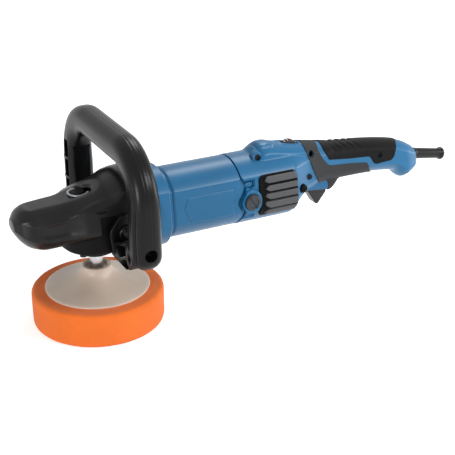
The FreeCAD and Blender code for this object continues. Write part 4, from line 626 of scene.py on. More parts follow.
def seam_x(angle):
    """Where the valley between the motor casing and the rear shells runs, round the brush caps."""
    return easy_curve(
        (-90, -58, -42, -33, -24, -15, -6, 3, 12, 22, 31, 40, 60, 90),
        (166, 166, 167, 169.6, 169.4, 165.6, 163, 165.4, 169.4, 170.4, 168, 166.4, 165.8, 165.4), tilt_up(angle))


def seam_width(angle):
    """The valley's width, wider round the brush caps."""
    return easy_curve((-90, -45, -34, 32, 41, 90), (1.2, 1.6, 3.4, 3.4, 0.9, 0.8), tilt_up(angle))


VALLEY, VALLEY_EDGE = 3.0, 0.9  # depth of the valley and the rounding of its edge
# The blank plaque on the casing's side, and the casing's steps along X as (X, height over the barrel).
PLAQUE = [(93.5, 128), (98.5, 139.5), (155, 139.5), (155, 110.5), (101, 110.5)]
CASING_STEPS = [(59, 5.2), (60.6, 6.0), (74.2, 6.0), (75.2, 5.2), (75.6, -1.4), (80.6, -1.4), (81.4, -0.7),
                (83.4, 0.0), (180, 0.0)]


def casing_relief(x, angle):
    """The casing's steps along X, its plaque on each flat side, and the valley at its rear end."""
    radius = casing_radius(angle)
    z = AXIS_Z + radius * np.sin(angle)
    steps = np.interp(x, *zip(*CASING_STEPS))
    away = outline_distance(x, z, PLAQUE)
    plaque = 0.45 * step(-away, -0.5, 0.4) - 0.35 * np.exp(-((away - 0.9) / 0.45) ** 2)
    plaque = np.where(np.abs(np.cos(angle)) > 0.6, plaque, 0)
    past = x - (seam_x(angle) - seam_width(angle) / 2)
    turn_in = np.clip((past + VALLEY_EDGE) / VALLEY_EDGE, 0, 1)
    return steps + plaque - np.where(past > 0, VALLEY, VALLEY * (1 - np.sqrt(1 - turn_in**2)))


CASING_WALL = 3.4


def motor_casing():
    """The blue ABS motor casing with its flange ring, clamp groove and side plaques."""
    places = np.concatenate([
        np.arange(60, 62, 0.25), np.arange(62, 73.4, 0.9), np.arange(73.4, 84, 0.25), np.arange(84, 161, 0.7),
        np.arange(161, 176, 0.3)])
    angle = np.linspace(0, 2 * math.pi, 560, endpoint=False)
    x, turn = np.meshgrid(places, angle, indexing="ij")
    radius = casing_radius(turn) + casing_relief(x, turn)
    outer, inner = (about_axis(x, r, turn) for r in (radius, np.minimum(radius, BARREL_R) - CASING_WALL))
    casing = piece_of("motor_casing", *wall(outer, inner, wrap=True))
    dressed(casing, "blue_plastic", "housing", "motor_housing")


def shell_relief(base):
    """What stands out of or sinks into the rear shells: cap bosses, pockets, the tab on the back, the dial's frame."""
    px, py, pz = base[..., 0], base[..., 1], base[..., 2]
    side, top = np.abs(py) > 26, pz > AXIS_Z + 34
    cap_z = AXIS_Z - np.abs(py) * math.sin(math.radians(BRUSH_TILT))
    boss = 3.4 * step(-(np.hypot(px - BRUSH_X, pz - cap_z) - 13.2), -0.8, 0.8)
    pocket_top = outline_distance(px, pz, [(170.5, 147), (183, 147.6), (183, 139.5), (178, 137.4), (170.5, 140)])
    pocket_low = outline_distance(px, pz, [(171, 105.5), (183, 105.5), (183, 99.5), (171, 99.5)])
    sunk = -3.0 * step(-pocket_top, -0.5, 0.6) - 2.2 * step(-pocket_low, -0.5, 0.6)
    tab = outline_distance(px, py, [(201, -9.5), (217, -11), (221, 0), (217, 11), (201, 9.5)])
    raised = 0.9 * step(-tab, -0.6, 0.6) - 0.7 * np.exp(-((tab - 1.2) / 0.7) ** 2)
    sill = outline_distance(px, py, [(233, -7.5), (261, -7.5), (261, 7.5), (233, 7.5)])
    dial_frame = 0.6 * np.exp(-((sill - 0.2) / 0.8) ** 2)
    return side * (boss + sunk) + top * (raised + dial_frame)


HALF_GIRTH, MEAN_SEAM = 118.0, 166.0  # of the rear shells, for an even spread of points


def half_grid(side, last):
    """Places along X and angles over one half of the body, from the seam back to the last place."""
    across = spread_out(HALF_GIRTH, 0.9)
    angle = np.radians(90 + 180 * across if side < 0 else -90 + 180 * across)
    start = seam_x(angle) + seam_width(angle) / 2
    along = spread_out(last - MEAN_SEAM)
    x = start[None, :] + (last - start[None, :]) * along[:, None]
    return x, np.repeat(angle[None, :], len(along), 0)


def guard_frame():
    """The cord guard's root on its sloping axis and the axis itself."""
    slope = math.radians(9.7)
    return Vector((REAR_X, 0, AXIS_Z - 1.6)), Vector((math.cos(slope), 0, -math.sin(slope)))


def brush_line(side):
    """The direction in which a brush cap faces."""
    tilt = math.radians(BRUSH_TILT)
    return Vector((0, side * math.cos(tilt), side * math.sin(tilt)))


def rear_shells():
    """The two ABS shells behind the motor, with wells for screws, caps, trigger, dial and lock-on button."""
    root, along = guard_frame()
    for side, name in ((-1, "left"), (1, "right")):
        x, angle = half_grid(side, REAR_X + END_CAP - 0.5)
        base = skin(x, angle)
        outer = skin(x, angle, rolled(edge_distance(base), 0.0, 0.35) + shell_relief(base))
        shell = piece_of("rear_shell_" + name, *wall(outer, skin(x, angle, -SHELL_WALL)))
        tools = [
            tool_rod(9.9, 20, Vector((BRUSH_X, 0, AXIS_Z)) + brush_line(side) * 36, brush_line(side)),  # brush cap
            tool_rod(7.3, 40, root - along * 20, along),  # cord guard
            tool_box((260.5, -8.6, 60), (301, 8.6, 120)),  # trigger
            tool_box((235.4, -5.2, 158), (259.0, 5.2, 190)),  # speed dial
            *screw_wells(side),
        ]
        if side < 0:
            tools.append(tool_rod(5.4, 40, (LOCK_ON[0], -20, LOCK_ON[1]), (0, -1, 0)))
        dressed(carve(shell, *tools), "blue_plastic", "housing", "handle_shell_" + name)
    x, z, reach = SCREWS[0]
    boss = piece_of("screw_boss", *turned([(0, 6.5), (7.6, 6.5), (8.6, 5.6)], (x, 8.4 - reach, z), (0, -1, 0)))
    carve(boss, tool_rod(SCREW_WELL, 60, (x, SCREW_SINK - reach, z), (0, -1, 0)))
    dressed(boss, "blue_plastic", "housing")


# ------------------------------------------------------------------------------- panels cut to any outline


def resampled(outline, spacing):
    """Points along a closed outline, its corners kept."""
    corners, points = np.asarray(outline, float), []
    for a, b in zip(corners, np.roll(corners, -1, 0)):
        parts = max(1, int(round(np.hypot(*(b - a)) / spacing)))
        points += [a + (b - a) * n / parts for n in range(parts)]
    return np.array(points)


def eased(outline, reach):
    """A closed outline with each corner turned into a short arc."""
    corners, points = np.asarray(outline, float), []
    for before, here, after in zip(np.roll(corners, 1, 0), corners, np.roll(corners, -1, 0)):
        back, on = before - here, after - here
        cut = min(reach, np.hypot(*back) * 0.45, np.hypot(*on) * 0.45)
        start, end = here + back / np.hypot(*back) * cut, here + on / np.hypot(*on) * cut
        for t in np.linspace(0, 1, 5):
            points.append(start * (1 - t) ** 2 + here * 2 * t * (1 - t) + end * t * t)
    return points


def sheet_mesh(outline, spacing, insets):
    """Triangles that fill an outline, its rim followed by rows of points at the given insets, and the rim's order."""
    rim = resampled(outline, spacing)
    ahead = np.roll(rim, -1, 0) - np.roll(rim, 1, 0)
    inward = np.stack([-ahead[:, 1], ahead[:, 0]], -1) / np.hypot(ahead[:, 0], ahead[:, 1])[:, None]
    if outline_distance(*(rim + inward * 0.01).T, rim)[0] > 0:
        inward = -inward
    rows = [rim]
    for inset in insets:
        moved = rim + inward * inset
        rows.append(moved[np.abs(outline_distance(*moved.T, rim) + inset) < inset * 0.12])
    low, high = rim.min(0), rim.max(0)
    gx, gy = np.meshgrid(np.arange(low[0], high[0], spacing), np.arange(low[1], high[1], spacing))
    gx = gx + (np.arange(gx.shape[0]) % 2 * spacing / 2)[:, None]
    away = outline_distance(gx, gy, rim)
    rows.append(np.stack([gx, gy], -1)[away < -(insets[-1] + spacing * 0.6)])
    points = np.concatenate(rows)
    count = len(rim)
    edges = [(n, (n + 1) % count) for n in range(count)]
    flat, _, faces, first, _, _ = delaunay_2d_cdt(
        [Vector(p) for p in points], edges, [list(range(count))], 1, 1e-6)
    places = np.array([tuple(p) for p in flat])
    spot = {source: n for n, sources in enumerate(first) for source in sources}
    return places, np.array(faces), [spot[n] for n in range(count)]


def sheet_panel(outline, surface, lift, thick, edge=0.6, spacing=1.0, relief=None):
    """Points and faces of a closed panel with a rounded rim, laid on a surface."""
    insets = (edge * 0.12, edge * 0.4, edge)
    places, faces, rim = sheet_mesh(outline, spacing, insets)
    away = -outline_distance(places[:, 0], places[:, 1], outline)
    height = rolled(away, lift, edge)
    if relief is not None:
        height = height + relief(places[:, 0], places[:, 1], away)
    outer = surface(places[:, 0], places[:, 1], height)
    inner = surface(places[:, 0], places[:, 1], np.full(len(places), lift - thick))
    count = len(places)
    sides = [(a, b, b + count, a + count) for a, b in zip(rim, rim[1:] + rim[:1])]
    return np.concatenate([outer, inner]), [tuple(f) for f in faces] + [
        tuple(n + count for n in reversed(f)) for f in faces.tolist()] + sides


def together(parts):
    """One mesh from several (points, faces)."""
    points, faces, count = [], [], 0
    for some, these in parts:
        points.append(np.asarray(some))
        faces += [tuple(int(n) + count for n in f) for f in these]
        count += len(some)
    return np.concatenate(points), faces


GRIP_ROUND, GRILLE_ROUND = 32.0, 40.0  # radii at which panels on the grip and on the motor are cut flat
BARS_ROUND, BARS_OFFSET = 43.0, 0.6  # radius on which the grille's heights are read, and its skin over the casing


def on_skin(outline, side):
    """A side-view outline on the far (1) or near (-1) side, as (x, millimetres round the body)."""
    laid, turns = [], np.radians(np.linspace(-90, 90, 361))
    for x, z in outline:
        turn = np.interp(z, skin(np.full(361, float(x)), turns)[:, 2], turns)
        laid.append((x, (turn if side > 0 else math.pi - turn) * GRIP_ROUND))
    return laid


def laid_on_skin(u, v, lift):
    """Points lifted off the body's skin."""
    return skin(u, v / GRIP_ROUND, lift)


def on_casing(outline, side):
    """A side-view outline on the grille's round, as (x, millimetres round the casing)."""
    laid = []
    for x, z in outline:
        turn = math.asin(np.clip((z - AXIS_Z) / BARS_ROUND, -1, 1))
        laid.append((x, (turn if side > 0 else math.pi - turn) * GRILLE_ROUND))
    return laid


def laid_on_casing(u, v, lift):
    """Points lifted off the motor casing's own surface, carried on over the shells."""
    return about_axis(u, casing_radius(v / GRILLE_ROUND, BARS_OFFSET) + lift, v / GRILLE_ROUND)


TOP_Z = 190.0  # above the body: an outline that ends here meets its other half on the ridge
FRONT_GRIP = [(262.2, TOP_Z), (260.5, 163), (262.5, 154), (267, 142.3), (272, 130.8), (278, 121.2), (282.5, 118.4),
              (297, 116.5), (300.5, 111), (303, 96), (360.5, 96), (360.5, 116.4), (359, 118.1), (352.5, 124.5),
              (349, 133.1), (328, 136), (293.5, 139.6), (288.5, 143.6), (281.5, 152.6), (278.5, 159.8),
              (284.2, TOP_Z)]
TOP_GRIP = [(289.2, TOP_Z), (286, 158.4), (289, 153.4), (292.5, 146.6), (323, 142.6), (352, 140), (355, 137.2),
            (358, 131.6), (361.5, 129.1), (384.5, 129.9), (389, 133.1), (392, 141.2), (397.5, 147), (402.2, TOP_Z)]


def palm_ripples(u, v, away):
    """The waves under the palm, fading out towards the panel's rim."""
    depth = bpy.context.scene.polisher.ripple_depth / MM
    tall = laid_on_skin(u, v, 0.0)[:, 2]
    wave = np.sin((u + (tall - 150) * 1.1) * 2 * math.pi / 8.5)
    zone = step(u, 296, 302) * (1 - step(u, 334, 342)) * step(tall, 149, 152)
    return -depth * np.clip(wave, 0, 1) ** 0.7 * zone * step(away, 0.5, 2)


def grip_panels():
    """The soft grip's two panels on each side, with the screw wells left open and ripples for the palm."""
    proud = bpy.context.scene.polisher.grip_proud / MM
    for side, name in ((-1, "left"), (1, "right")):
        for outline, part, finish in ((FRONT_GRIP, "front", "grey_rubber"), (TOP_GRIP, "top", "dark_rubber")):
            edge = eased(on_skin(outline, side), 2.5)
            sheet = sheet_panel(edge, laid_on_skin, proud, 2.6, 0.6, 1.1, palm_ripples)
            panel = piece_of("grip_%s_%s" % (part, name), *sheet)
            carve(panel, *screw_wells(side), tool_box((258.0, -8.9, 60), (303, 8.9, 113)))
            replaced = ["grip_overmould_" + name] if part == "front" else []
            dressed(panel, finish, "housing", *replaced, slot="grey_rubber")


GRILLE_FRAME = [(188.5, 148), (192, 151), (233, 151), (239, 145), (239, 107), (233, 101), (190, 101), (188, 104)]
BARS = (
    [(197, 148.5), (234, 148.5), (237, 145), (237, 141.2), (200, 141.2), (194.5, 144)],
    [(199, 138.6), (237.2, 138.6), (237.2, 131.4), (200, 131.4), (195, 135)],
    [(196, 128.8), (237.2, 128.8), (237.2, 121.6), (200.5, 121.6), (195, 125)],
    [(195, 119), (237.2, 119), (237.2, 112.2), (200, 112.2), (194, 115.5)],
    [(199.5, 109.6), (237, 109.6), (234, 103.6), (202, 103.6), (193.5, 106)],
)


def grilles():
    """Side grilles: a frame over the vents, near black as painted shade between the bars, and chunky bars with pointed
    front ends.
    """
    proud = bpy.context.scene.polisher.bar_height / MM
    for side, name in ((-1, "left"), (1, "right")):
        frame_edge = eased(on_casing(GRILLE_FRAME, side), 1.5)
        # The frame is near black: painted shade that shows between the bars.
        surround = piece_of("grille_frame_shade_" + name, *sheet_panel(frame_edge, laid_on_casing, 2.2, 3.4, 0.8, 1.3))
        dressed(surround, "dark_plastic", "housing", slot="grey_plastic")
        bars = [sheet_panel(eased(on_casing(bar, side), 1.2), laid_on_casing, proud, 3.6, 1.1) for bar in BARS]
        grille = piece_of("vent_grille_" + name, *together(bars))
        dressed(grille, "grey_plastic", "housing", "vent_grille_" + name)


# ---------------------------------------------------------------------------------------------- pad and head


PAD_RADIUS, PAD_HIGH, PAD_EDGE = 75, 40, 5
# Each lump round the pad's side: waves per turn, change with height, start, and depth in millimetres.
PAD_LUMPS = ((3, 0.05, 0.4, 0.22), (7, 0.13, 2.1, 0.16), (13, 0.21, 4.0, 0.1), (29, 0.4, 1.1, 0.05))


def foam_pad():
    """The foam pad: cut square, its edges rounded by use, its recess for the plate's insert in the top."""
    near = PAD_RADIUS - PAD_EDGE
    profile = [(0, 0), *((r, 0) for r in np.arange(4, 69, 3)), *arc((near, PAD_EDGE), PAD_EDGE, -90, 0),
               *((PAD_RADIUS, z) for z in np.arange(7, 34, 1.5)),
               *arc((near, PAD_HIGH - PAD_EDGE), PAD_EDGE, 0, 90), *((r, PAD_HIGH) for r in np.arange(66, 17, -3)),
               (16, PAD_HIGH), (16, 25), (0, 25)]
    grid = lathe(profile, 256)
    angle = np.arctan2(grid[..., 1], grid[..., 0])
    lumps = sum(np.sin(angle * waves + grid[..., 2] * climb + start) * deep
                for waves, climb, start, deep in PAD_LUMPS)
    inward = np.clip(np.abs(lumps), 0, 0.5) * (np.hypot(grid[..., 0], grid[..., 1]) > 60)
    grid[..., 0] -= inward * np.cos(angle)
    grid[..., 1] -= inward * np.sin(angle)
    pad = dressed(piece_of("foam_pad", *closed_skin(grid)), "pad_foam", "spindle_set", "foam_pad")


def backing_plate():
    """The moulded plate: a thin rim sweeping up in a bell to a square-shouldered hub."""
    bell = [(16.5 + 42.5 * (1 - t) ** 2.6, 42.4 + 24.6 * t) for t in np.linspace(0, 0.93, 40)]
    profile = [(11.05, 40), (58.4, 40), *arc((58.2, 41.2), 1.2, -60, 60, 5), *bell[1:], (16.55, 66.2), (16.2, 66.8),
               (15.6, 67), (13.4, 67), (12.8, 66.5), (12.8, 63.7), (7.9, 63.6), (7.9, 63.1), (11.05, 63.1)]
    plate = piece_of("backing_plate", *closed_skin(lathe(profile, 192), ring=True))
    dressed(plate, "plate_plastic", "spindle_set", "backing_plate")


# The hood's half width, rise and drop from the motor's axis, at places along X.
HOOD_X = (-92.5, -86.0, -75.0, -59.0, -41.0, -20.0, 8.0, 28.0, 46.0)
HOOD_HALF = (11.0, 21.0, 27.0, 28.5, 31.0, 41.2, 44.5, 46.0, 48.0)
HOOD_RISE = (13.5, 22.5, 27.5, 29.0, 30.0, 34.0, 41.0, 51.0, 52.0)
HOOD_DROP = (0.0, 11.0, 21.0, 26.0, 25.5, 25.0, 25.0, 25.0, 25.0)
HOOD_TIP, HOOD_COLLAR, HOOD_WALL, HOOD_COLUMNS = -92.5, 46.0, 5.0, 240
WINDOW_FLOOR = 157.0


def hood_relief(x, turn):
    """The crease along the hood's side and the hollow cheek below it."""
    tall = tilt_up(turn)
    nose = step(x, -84, -70)
    crease = np.exp(-((tall - 20 - 14 * step(x, -50, -5)) / 4.0) ** 2) * nose * (1 - step(x, 26, 40))
    cheek = np.exp(-((tall + 8) / 17.0) ** 2) * step(x, -70, -54) * (1 - step(x, -38, -18))
    return 1.8 * crease - 3.4 * cheek


def hood_grid(inset):
    """The hood's skin from the tip of its nose to its collar, flattened on top; an inset one is its inner face."""
    nose = HOOD_TIP + 7 * (1 - np.cos(np.linspace(0, math.pi / 2, 16)))
    places = np.concatenate([nose, np.arange(HOOD_TIP + 8, HOOD_COLLAR + 0.1, 0.9)])
    half, rise, drop = (easy_curve(HOOD_X, v, places) for v in (HOOD_HALF, HOOD_RISE, HOOD_DROP))
    every = slice(None, None, len(PHI) // HOOD_COLUMNS)
    turn = PHI[every]
    rows = []
    for x, h, r, b in zip(places, half, rise, drop):
        points, middle = shell_section(max(h - inset, 2), max(r - inset, -b + inset + 2), b - inset)
        radius = blur(star(points), 5, 0, True)[every] + (0 if inset else hood_relief(x, turn))
        if not inset:
            level = (r + b) / 2 - 2.6 * step(x, -84, -72) * (1 - step(x, -6, 10))
            radius = soft_least(radius, level / np.maximum(np.sin(turn), 0.25), 0.8)
        start = np.full(HOOD_COLUMNS, max(x, HOOD_TIP + inset * 1.02))
        rows.append(about_axis(start, radius, turn, middle))
    return blur(np.array(rows), 0 if inset else 1.2)


def palm_hood():
    """The rubber hood over the gear head, hollow beneath, with a round well for the lock button."""
    points, faces = wall(hood_grid(0.0), hood_grid(HOOD_WALL), wrap=True, ends=[-1])
    inner_nose = len(points) // 2
    noses = [tuple(range(HOOD_COLUMNS)), tuple(inner_nose + n for n in reversed(range(HOOD_COLUMNS)))]
    hood = piece_of("palm_hood", points, faces.tolist() + noses)
    well = turned([(0, 13.6), (1.0, 14.2), (3.0, 14.8), (6, 17), (20, 20)], (LOCK_X, 0, WINDOW_FLOOR), (0, 0, 1))
    carve(
        hood,
        tool_rod(39.3, 170, (0, 0, 146.3 - 170), (0, 0, 1)),  # room for the gear case
        tool_box((-30, -100, 20), (60, 100, 108)),  # the skirt's lower edge
        tool_box((-7, -100, 20), (60, 100, 140)),  # its sides, open for the loop's ears
        tool_rod(8.1, 60, (LOCK_X, 0, 140), (0, 0, 1)),  # the button's hole
        piece_of("tool", *well),
    )
    dressed(hood, "black_rubber", "housing", "gear_hood")


# ---------------------------------------------------------------------------------------------- loop handle


LEG_POWER = 2.5  # how square the tube's section is: 2 is round


def loop_path():
    """Points and outward directions along the loop's middle line, from foot to foot."""
    top, side = HOOP_TOP - HOOP_CORNER, HOOP_HALF
    rounding = LEG_END + LEG_ROUND * (1 - np.cos(np.linspace(0.08, math.pi / 2, 16)))
    up = [(-side, z) for z in np.concatenate([rounding, np.arange(LEG_END + LEG_ROUND + 2, top, 3.0)])]
    bend = [(-side + HOOP_CORNER - HOOP_CORNER * math.cos(a), top + HOOP_CORNER * math.sin(a))
            for a in np.linspace(0, math.pi / 2, 26)]
    half = up + bend + [(y, HOOP_TOP) for y in np.arange(-side + HOOP_CORNER + 3, -1, 3.5)]
    line = np.array(half + [(0.0, HOOP_TOP)] + [(-y, z) for y, z in reversed(half)])
    ahead = np.gradient(line, axis=0)
    ahead /= np.hypot(ahead[:, 0], ahead[:, 1])[:, None]
    return line, np.stack([-ahead[:, 1], ahead[:, 0]], -1)


def loop_handle():
    """The loop: a soft square tube bent over the gear head, each leg grooved in front and rounded at its end."""
    line, outward = loop_path()
    deep = bpy.context.scene.polisher.leg_groove / MM
    turn = np.linspace(0, 2 * math.pi, 120, endpoint=False)
    across, along = np.cos(turn), -np.sin(turn)
    degrees = np.degrees((turn + math.pi) % (2 * math.pi) - math.pi)
    rows = []
    for (y, z), (oy, oz) in zip(line, outward):
        leg = step(205 - z, 0, 45)
        thin = 1 - (1 - CROSS_BAR_HALF / HOOP_TUBE) * step(z, 150, 205)
        plain = HOOP_TUBE / (np.abs(across) ** LEG_POWER + np.abs(along) ** LEG_POWER) ** (1 / LEG_POWER)
        groove = deep * leg * np.exp(-((degrees - 62) / 7) ** 2)
        crease = 0.36 * leg * np.exp(-((degrees - 90) / 4) ** 2)
        seam = 0.35 * np.exp(-((np.abs(degrees) - 8) / 1.8) ** 2)
        end = np.clip((LEG_END + LEG_ROUND - z) / LEG_ROUND, 0, 1)
        radius = (plain - groove - crease - seam) * (1 - end**2.2) ** (1 / 2.2)
        rows.append(np.stack([HOOP_X + radius * along * thin, y + radius * across * oy, z + radius * across * oz], -1))
    loop = piece_of("loop_handle", *capped(rows))
    far_leg = [tool_box((HOOP_X - 20, HOOP_HALF - 8, low), (HOOP_X - 7, HOOP_HALF + 8, low + 21))
               for low in (115, 139, 163)]  # the open cells down the far leg's front, between its ribs
    far_leg.append(tool_box((HOOP_X - 20, 50, 108), (HOOP_X + 20, HOOP_HALF - 14.6, 178)))  # its flat inner face
    carve(loop, leg_screw_hole(-1), leg_screw_hole(1), *far_leg)
    dressed(loop, "black_plastic", "housing", "loop_handle")
    loop_foot(-1, "near")
    loop_foot(1, "far")


def loop_foot(side, name):
    """A leg's curled, ribbed foot and the ear that is screwed to the gear case."""
    inner, ear = 44.5, 50.0  # inner and outer face of the ear, from the middle
    sole, toe, root = -33.5, inner - 4.5, HOOP_HALF + 1
    near = HOOP_HALF - HOOP_TUBE  # inner face of the leg
    belly = [
        (root + 2, sole + 18), (root, sole + 12), (root - 5, sole + 7.5), (root - 12, sole + 4.5),
        (HOOP_HALF - 18, sole + 2.2), (HOOP_HALF - 30, sole + 0.6), (inner + 6, sole), (toe + 2, sole + 2.5),
        (toe, sole + 6.5), (toe, sole + 13), (inner, sole + 16), (inner, sole + 21.5), (ear, sole + 21.5),
        (near + 2, sole + 34.6), (near + 8, sole + 30),
    ]
    cells = [
        [(ear + 1, sole + 19), (near - 2.5, sole + 29), (near + 1.5, sole + 19.5), (inner + 19.5, sole + 9)],
        [(near + 8.5, sole + 27), (root - 3, sole + 22), (root - 5, sole + 13), (near + 5.5, sole + 16)],
        [(inner + 21.5, sole + 6.5), (near, sole + 14.5), (near + 9, sole + 7), (near + 4, sole + 3.5),
         (inner + 23.5, sole + 2)],
    ]
    front, back = HOOP_X - HOOP_TUBE + 0.4, HOOP_X + 7.5
    foot = piece_of("foot", *prism([(y * side, AXIS_Z + z) for y, z in belly], front, back, "X"))
    rims = [eased([(y * side, AXIS_Z + z) for y, z in cell], 1.6) for cell in cells]
    pockets = [piece_of("tool", *prism(rim, front - 2, front + 18, "X")) for rim in rims]
    pockets.append(leg_screw_hole(side))
    floor_z = AXIS_Z + sole
    for way, radius, edge in ((1, 8.0, back), (-1, 4.0, front)):
        curve = [(edge - way * radius * (1 - math.cos(a)), floor_z + radius * (1 - math.sin(a)))
                 for a in np.linspace(0, math.pi / 2, 9)]
        corner = [(edge + way * 2, floor_z + radius), *curve, (edge - way * radius, floor_z - 2),
                  (edge + way * 2, floor_z - 2)]
        pockets.append(piece_of("tool", *prism(corner, *sorted((30 * side, 125 * side)), "Y")))
    softened(carve(foot, *pockets), 0.5, 2, 45)
    ear_line = [(-20, 0), (-9, 14), (0, 17), (10, 12), (HOOP_TUBE, -6), (HOOP_TUBE, sole + 4), (-HOOP_TUBE, sole + 4),
                (-19, -12)]
    plate_line = eased([(HOOP_X + x, AXIS_Z + z) for x, z in ear_line], 4)
    plate = piece_of("plate", *prism(plate_line, *sorted((inner * side, ear * side)), "Y"))
    softened(carve(plate, tool_rod(4.3, 30, (HOOP_X, 40 * side, LEG_SCREW_Z), (0, side, 0))), 0.8, 3, 50)
    boss = turned([(0, 10), (2.4, 10), (3, 9.4), (3, 4.3), (0, 4.3)], (HOOP_X, ear * side, LEG_SCREW_Z), (0, side, 0))
    for piece, label in ((foot, "loop_foot_"), (plate, "loop_ear_"), (piece_of("pad", *boss), "loop_pad_")):
        piece.name = label + name
        dressed(piece, "black_plastic", "housing")


# ------------------------------------------------------------------------------------------------- controls


def cord_guard():
    """The rubber cord guard: a flexible sleeve on its sloping axis, its bulb at the free end."""
    root, along = guard_frame()
    steps = [(-16, 4.2), (-16, 6.8), (-3.8, 6.8), (-0.5, 6.9), (0.5, 7.3), (3, 7.4), (4, 7.0)]
    steps += [(5 + n, 7.0 - n * 0.016) for n in range(0, 36, 2)]
    steps += [(41.5, 6.5), (43, 7.0), (44.5, 7.8), (45.5, 8.0), (47.2, 7.9), (48.4, 7.2), (49, 6.3), (49, 4.2),
              (-16, 4.2)]
    rows = rings_along([(d, ring_of(r, 64)) for d, r in steps], root, along)
    guard = piece_of("cord_guard", *closed_skin(np.array(rows)))
    dressed(guard, "black_rubber", "housing", "cord_guard")


def brush_caps():
    """The two slotted caps over the carbon brushes, each in its ring on the side of the body."""
    steps = [(33.6, 5.4), (37.4, 5.6), (37.4, 9.3), (41.6, 9.3), (43.9, 9.5), (44.4, 9.2), (44.6, 8.6), (44.6, 6.4),
             (43.7, 6.2)]
    middle = Vector((BRUSH_X, 0, AXIS_Z))
    slot_line = [(-1.1, -9.8), (1.1, -9.8), (1.1, 9.8), (-1.1, 9.8)]
    for side, name, replaced in ((-1, "near", ["brush_caps"]), (1, "far", [])):
        along = brush_line(side)
        cap = piece_of("brush_cap_" + name, *turned(steps, middle, along, 64))
        slot = piece_of("tool", *prism(slot_line, 42.8, 46, "Z"))
        slot.matrix_world = Matrix.Translation(middle * MM) @ along.to_track_quat("Z", "Y").to_matrix().to_4x4() @ \
            Matrix.Rotation(math.radians(35), 4, "Z")
        dressed(carve(cap, slot), "cap_plastic", "housing", *replaced, slot="grey_plastic")


def trigger():
    """The trigger: a wedge-shaped paddle on its pin, its point downwards and its edges rounded."""
    x, z = TRIGGER_PIVOT
    outline = [(-5, 5), (-5, -4), (4, -9), (9, -15.5), (15.6, -26.2), (17.4, -27), (19.6, -26.4), (24, -20.6),
               (30, -13), (30, 3), (5, 3)]
    paddle = piece_of("trigger_paddle", *prism([(x + a, z + b) for a, b in outline], -8, 8, "Y"))
    carve(softened(paddle, 1.6, 4, 50), tool_rod(1.6, 30, (x, -15, z), (0, 1, 0)))
    dressed(paddle, "trigger_plastic", "trigger", "trigger", slot="grey_plastic")


def lock_on_button():
    """The lock-on button: a small peg, knurled near its domed end."""
    count = 96
    knurl = 1 - 0.035 * (np.arange(count) % 4 < 2)[:, None]
    steps = ((0, 4.6, 1), (0.6, 5.0, 1), (9.0, 5.0, 1), (9.2, 5.0, knurl), (12.4, 5.0, knurl), (12.8, 4.7, 1),
             (13.5, 4.0, 1), (13.9, 2.4, 1), (14, 1.2, 1))
    sections = [(d, ring_of(r, count) * share) for d, r, share in steps]
    peg = piece_of("lock_on_peg", *capped(rings_along(sections, (LOCK_ON[0], -23, LOCK_ON[1]), (0, -1, 0))))
    dressed(peg, "dark_plastic", "lock_on", "lock_on_button", slot="black_plastic")


def speed_dial():
    """The speed dial: a ribbed thumb wheel with white marks of growing length and one red mark."""
    x, z = DIAL
    count, rib_height = 240, 0.35
    turn = np.arange(count) / count * 2 * math.pi
    rib = rib_height * np.clip(np.cos(turn * 30) * 2, -1, 1)[:, None]
    flank = 11 - rib_height
    sections = [(d, ring_of(r, count) * (1 + rib * share / r)) for d, r, share in (
        (0, 10.2, 0), (0.5, 10.7, 0.5), (1.2, flank, 1), (7.8, flank, 1), (8.5, 10.7, 0.5), (9, 10.2, 0))]
    wheel = piece_of("dial_wheel", *capped(rings_along(sections, (x, -4.5, z), (0, 1, 0))))
    carve(wheel, tool_rod(2.1, 30, (x, -15, z), (0, 1, 0)))
    dressed(wheel, "dial_plastic", "dial", "speed_dial")
    white, red = [], []
    for n, degrees in enumerate(range(-150, 151, 20)):
        turned_to = math.radians(90 - degrees)
        ahead = np.array((math.cos(turned_to), 0, math.sin(turned_to)))
        aside = np.array((-math.sin(turned_to), 0, math.cos(turned_to)))
        long = 2.0 + 0.35 * n
        corners = [np.array((x, y, z)) + ahead * radius + aside * w
                   for radius in (10.6, 11.1) for y in (-long / 2, long / 2) for w in (-0.5, 0.5)]
        faces = [(0, 1, 3, 2), (4, 6, 7, 5), (0, 4, 5, 1), (2, 3, 7, 6), (0, 2, 6, 4), (1, 5, 7, 3)]
        (red if n == 8 else white).append((np.array(corners), faces))
    for marks, name, ink in ((white, "dial_marks", "white_ink"), (red, "dial_pointer", "red_ink")):
        dressed(piece_of(name, *together(marks)), ink, "dial", slot="dial_plastic")


# ---------------------------------------------------------------------------------------------------- stage


def on_stage(name, data, place, aim):
    """A camera or a lamp at a place, looking at a point."""
    made = bpy.data.objects.new(name, data)
    bpy.context.scene.collection.objects.link(made)
    made.location = place
    made.rotation_mode = "QUATERNION"
    made.rotation_quaternion = (Vector(aim) - Vector(place)).to_track_quat("-Z", "Y")
    return made


def camera():
    """The camera, in front and to the left of the pad, a little above the body."""
    lens = bpy.data.cameras.new("Camera")
    lens.lens, lens.sensor_width = 83.43, 36.0
    lens.clip_start, lens.clip_end = 0.05, 20
    bpy.context.scene.camera = on_stage("Camera", lens, (-0.35774, -1.01090, 0.60223), (0.1436, -0.0437, 0.0988))


def soft_light(name, place, aim, size, power):
    """A round soft lamp."""
    lamp = bpy.data.lights.new(name, "AREA")
    lamp.shape, lamp.size, lamp.energy = "DISK", size, power
    on_stage(name, lamp, place, aim)


def seen_rays(tree):
    """1 for rays from the camera, from a glossy surface or through glass, 0 for the light that lands on things."""
    path = node(tree, "LightPath").outputs
    bright = path["Is Camera Ray"]
    for way in ("Is Glossy Ray", "Is Transmission Ray"):
        bright = node(tree, "Math", {"operation": "MAXIMUM"}, {0: bright, 1: path[way]}).outputs[0]
    return bright


